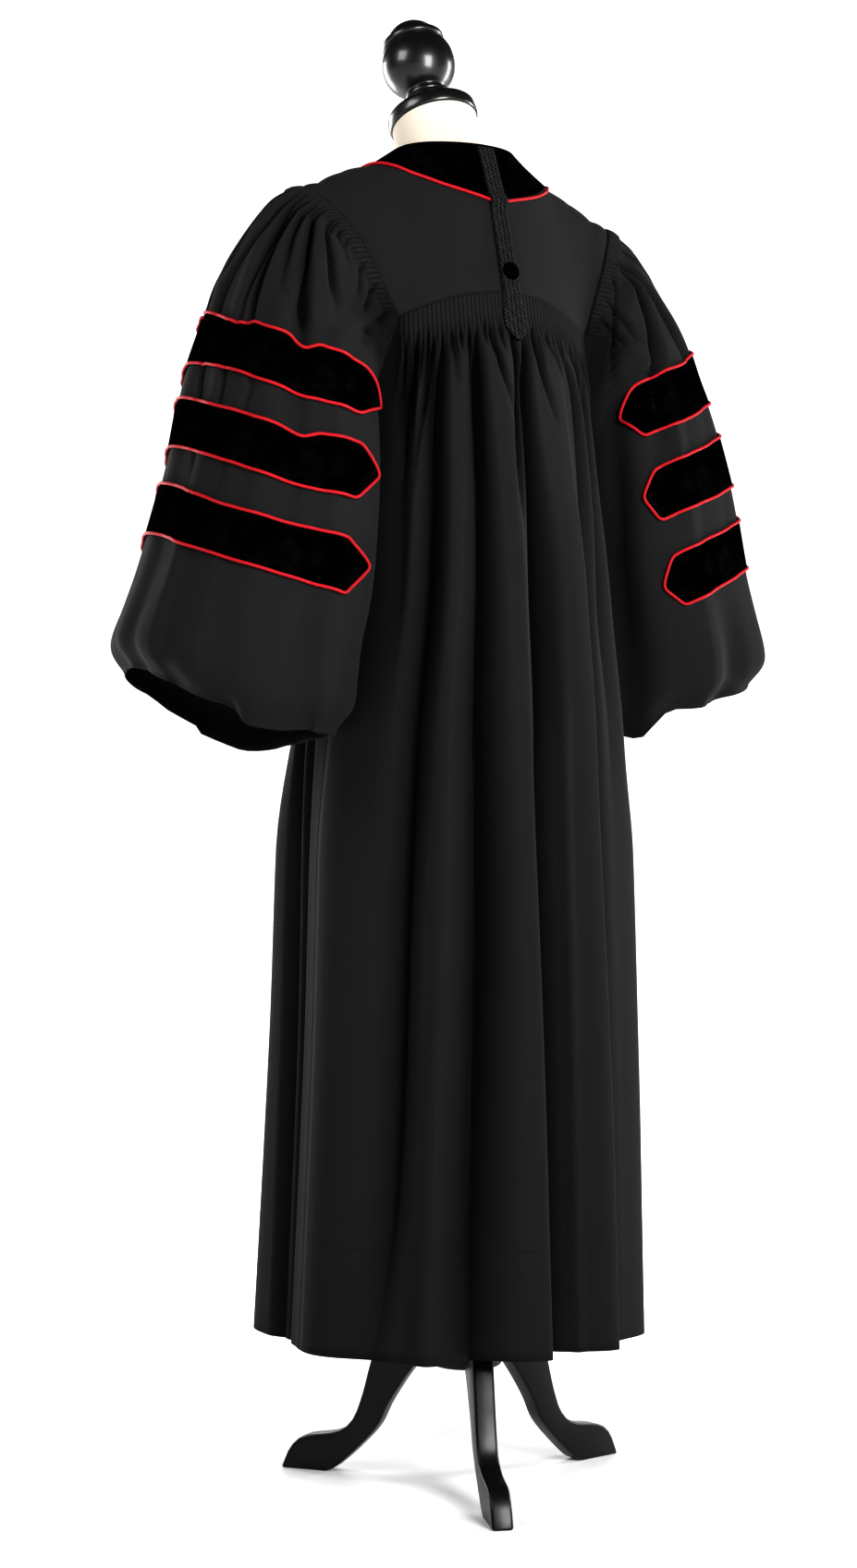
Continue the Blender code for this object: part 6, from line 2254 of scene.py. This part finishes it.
    def round_edges(self, obj: Object) -> None:
        """Rounds the leg's long edges and its toe.

        Args:
            obj: The piece.
        """
        editor = bmesh.from_edit_mesh(obj.data)
        for edge in editor.edges:
            sharp = len(edge.link_faces) == 2 and edge.calc_face_angle() > math.radians(50.0)
            at_hub = all(vert.co.x < self.upper_edge[0][0] + 0.001 for vert in edge.verts)
            edge.select_set(sharp and not at_hub)
        bmesh.update_edit_mesh(obj.data)
        bpy.ops.mesh.bevel(offset=self.leg_round, segments=4, affect="EDGES")


# -------- floor, light and camera


@dataclass
class Studio:
    """A pale floor, soft lights and the camera."""

    azimuth: float = math.radians(144.5)
    distance: float = 3.32
    height: float = 0.8
    lens: float = 66.42
    shift: float = -41.0 / 1697.0
    ambient: float = 0.05
    lights: Rows = (
        # towards the camera, to its right, height, width, tallness, power
        (2.25, 1.3, 1.75, 1.0, 1.6, 120.0),
        (-1.6, -1.75, 1.25, 1.0, 1.9, 46.0),
        (-0.95, 2.3, 1.25, 0.6, 1.9, 62.0),
        (1.3, -1.9, 2.5, 1.1, 1.1, 42.0),
        (-2.9, 0.2, 1.7, 2.2, 2.2, 46.0),
    )

    def build(self) -> None:
        """Sets the stage."""
        self.lay_floor()
        self.hang_lights()
        self.set_world()
        data = bpy.data.cameras.new("camera")
        camera = add("camera", data)
        data.lens = self.lens
        data.shift_x = self.shift
        x, y = math.sin(self.azimuth), -math.cos(self.azimuth)
        camera.location = (self.distance * x, self.distance * y + AXIS_Y, self.height)
        camera.rotation_euler = (math.pi / 2.0, 0.0, self.azimuth)
        bpy.context.scene.camera = camera
        view = bpy.context.scene.view_settings
        view.view_transform, view.look = "Standard", "High Contrast"

    def set_world(self) -> None:
        """White behind the robe, and a dimmer white as the room's own light."""
        world = bpy.data.worlds.new("studio")
        world.use_nodes = True
        tree = world.node_tree
        seen = node(tree, "ShaderNodeLightPath", {}, {}, "Is Camera Ray")
        strength = seen * (1.0 - self.ambient) + self.ambient
        back = tree.nodes["Background"]
        back.inputs["Color"].default_value = (1.0, 1.0, 1.0, 1.0)
        tree.links.new(strength.socket, back.inputs["Strength"])
        bpy.context.scene.world = world

    def lay_floor(self) -> Object:
        """A wide pale floor that glows as painted light, faint near the stand and full from two metres away.

        Returns:
            The floor.
        """
        bpy.ops.mesh.primitive_plane_add(size=30.0, location=(0.0, 0.0, 0.0))
        floor = bpy.context.active_object
        floor.name = "floor"
        material = bpy.data.materials.new("floor")
        material.use_nodes = True
        tree = material.node_tree
        shader = tree.nodes["Principled BSDF"]
        shader.inputs["Base Color"].default_value = (0.62, 0.62, 0.62, 1.0)
        shader.inputs["Roughness"].default_value = 0.6
        shader.inputs["Emission Strength"].default_value = 1.0
        # painted light: the floor's glow grows with distance from the stand
        away = node(tree, "ShaderNodeTexCoord", {}, {}, "Object")
        length = node(tree, "ShaderNodeVectorMath", {"operation": "LENGTH"}, {0: away}, "Value")
        spread = node(tree, "ShaderNodeMapRange", {"interpolation_type": "SMOOTHSTEP"},
                      {"Value": length, "From Min": 0.25, "From Max": 2.0, "To Min": 0.02, "To Max": 1.0})
        tree.links.new(spread.socket, shader.inputs["Emission Color"])
        floor.data.materials.append(material)
        return floor

    def hang_lights(self) -> None:
        """Soft oblong lights round the robe."""
        ahead = np.array((math.sin(self.azimuth), -math.cos(self.azimuth)))
        right = np.array((math.cos(self.azimuth), math.sin(self.azimuth)))
        for number, (near, side, height, width, tall, power) in enumerate(self.lights):
            data = bpy.data.lights.new(f"softbox_{number + 1}", "AREA")
            data.shape = "RECTANGLE"
            data.size, data.size_y = width, tall
            data.energy = power
            lamp = add(data.name, data)
            x, y = ahead * near + right * side
            lamp.location = (x, y + AXIS_Y, height)
            target = Vector((0.0, AXIS_Y, 0.95))
            lamp.rotation_euler = (target - lamp.location).to_track_quat("-Z", "Y").to_euler()


def main() -> None:
    """Builds every piece in order."""
    logging.basicConfig(level=logging.INFO, format="%(message)s")
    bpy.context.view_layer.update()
    parts = [Robe(), Sleeve(Side.LEFT), Sleeve(Side.RIGHT), Strap(), Form(), Finial(), Stand(), Studio()]
    for part in parts:
        part.build()
        LOG.info("%s is done", type(part).__name__)


if __name__ == "__main__":
    main()
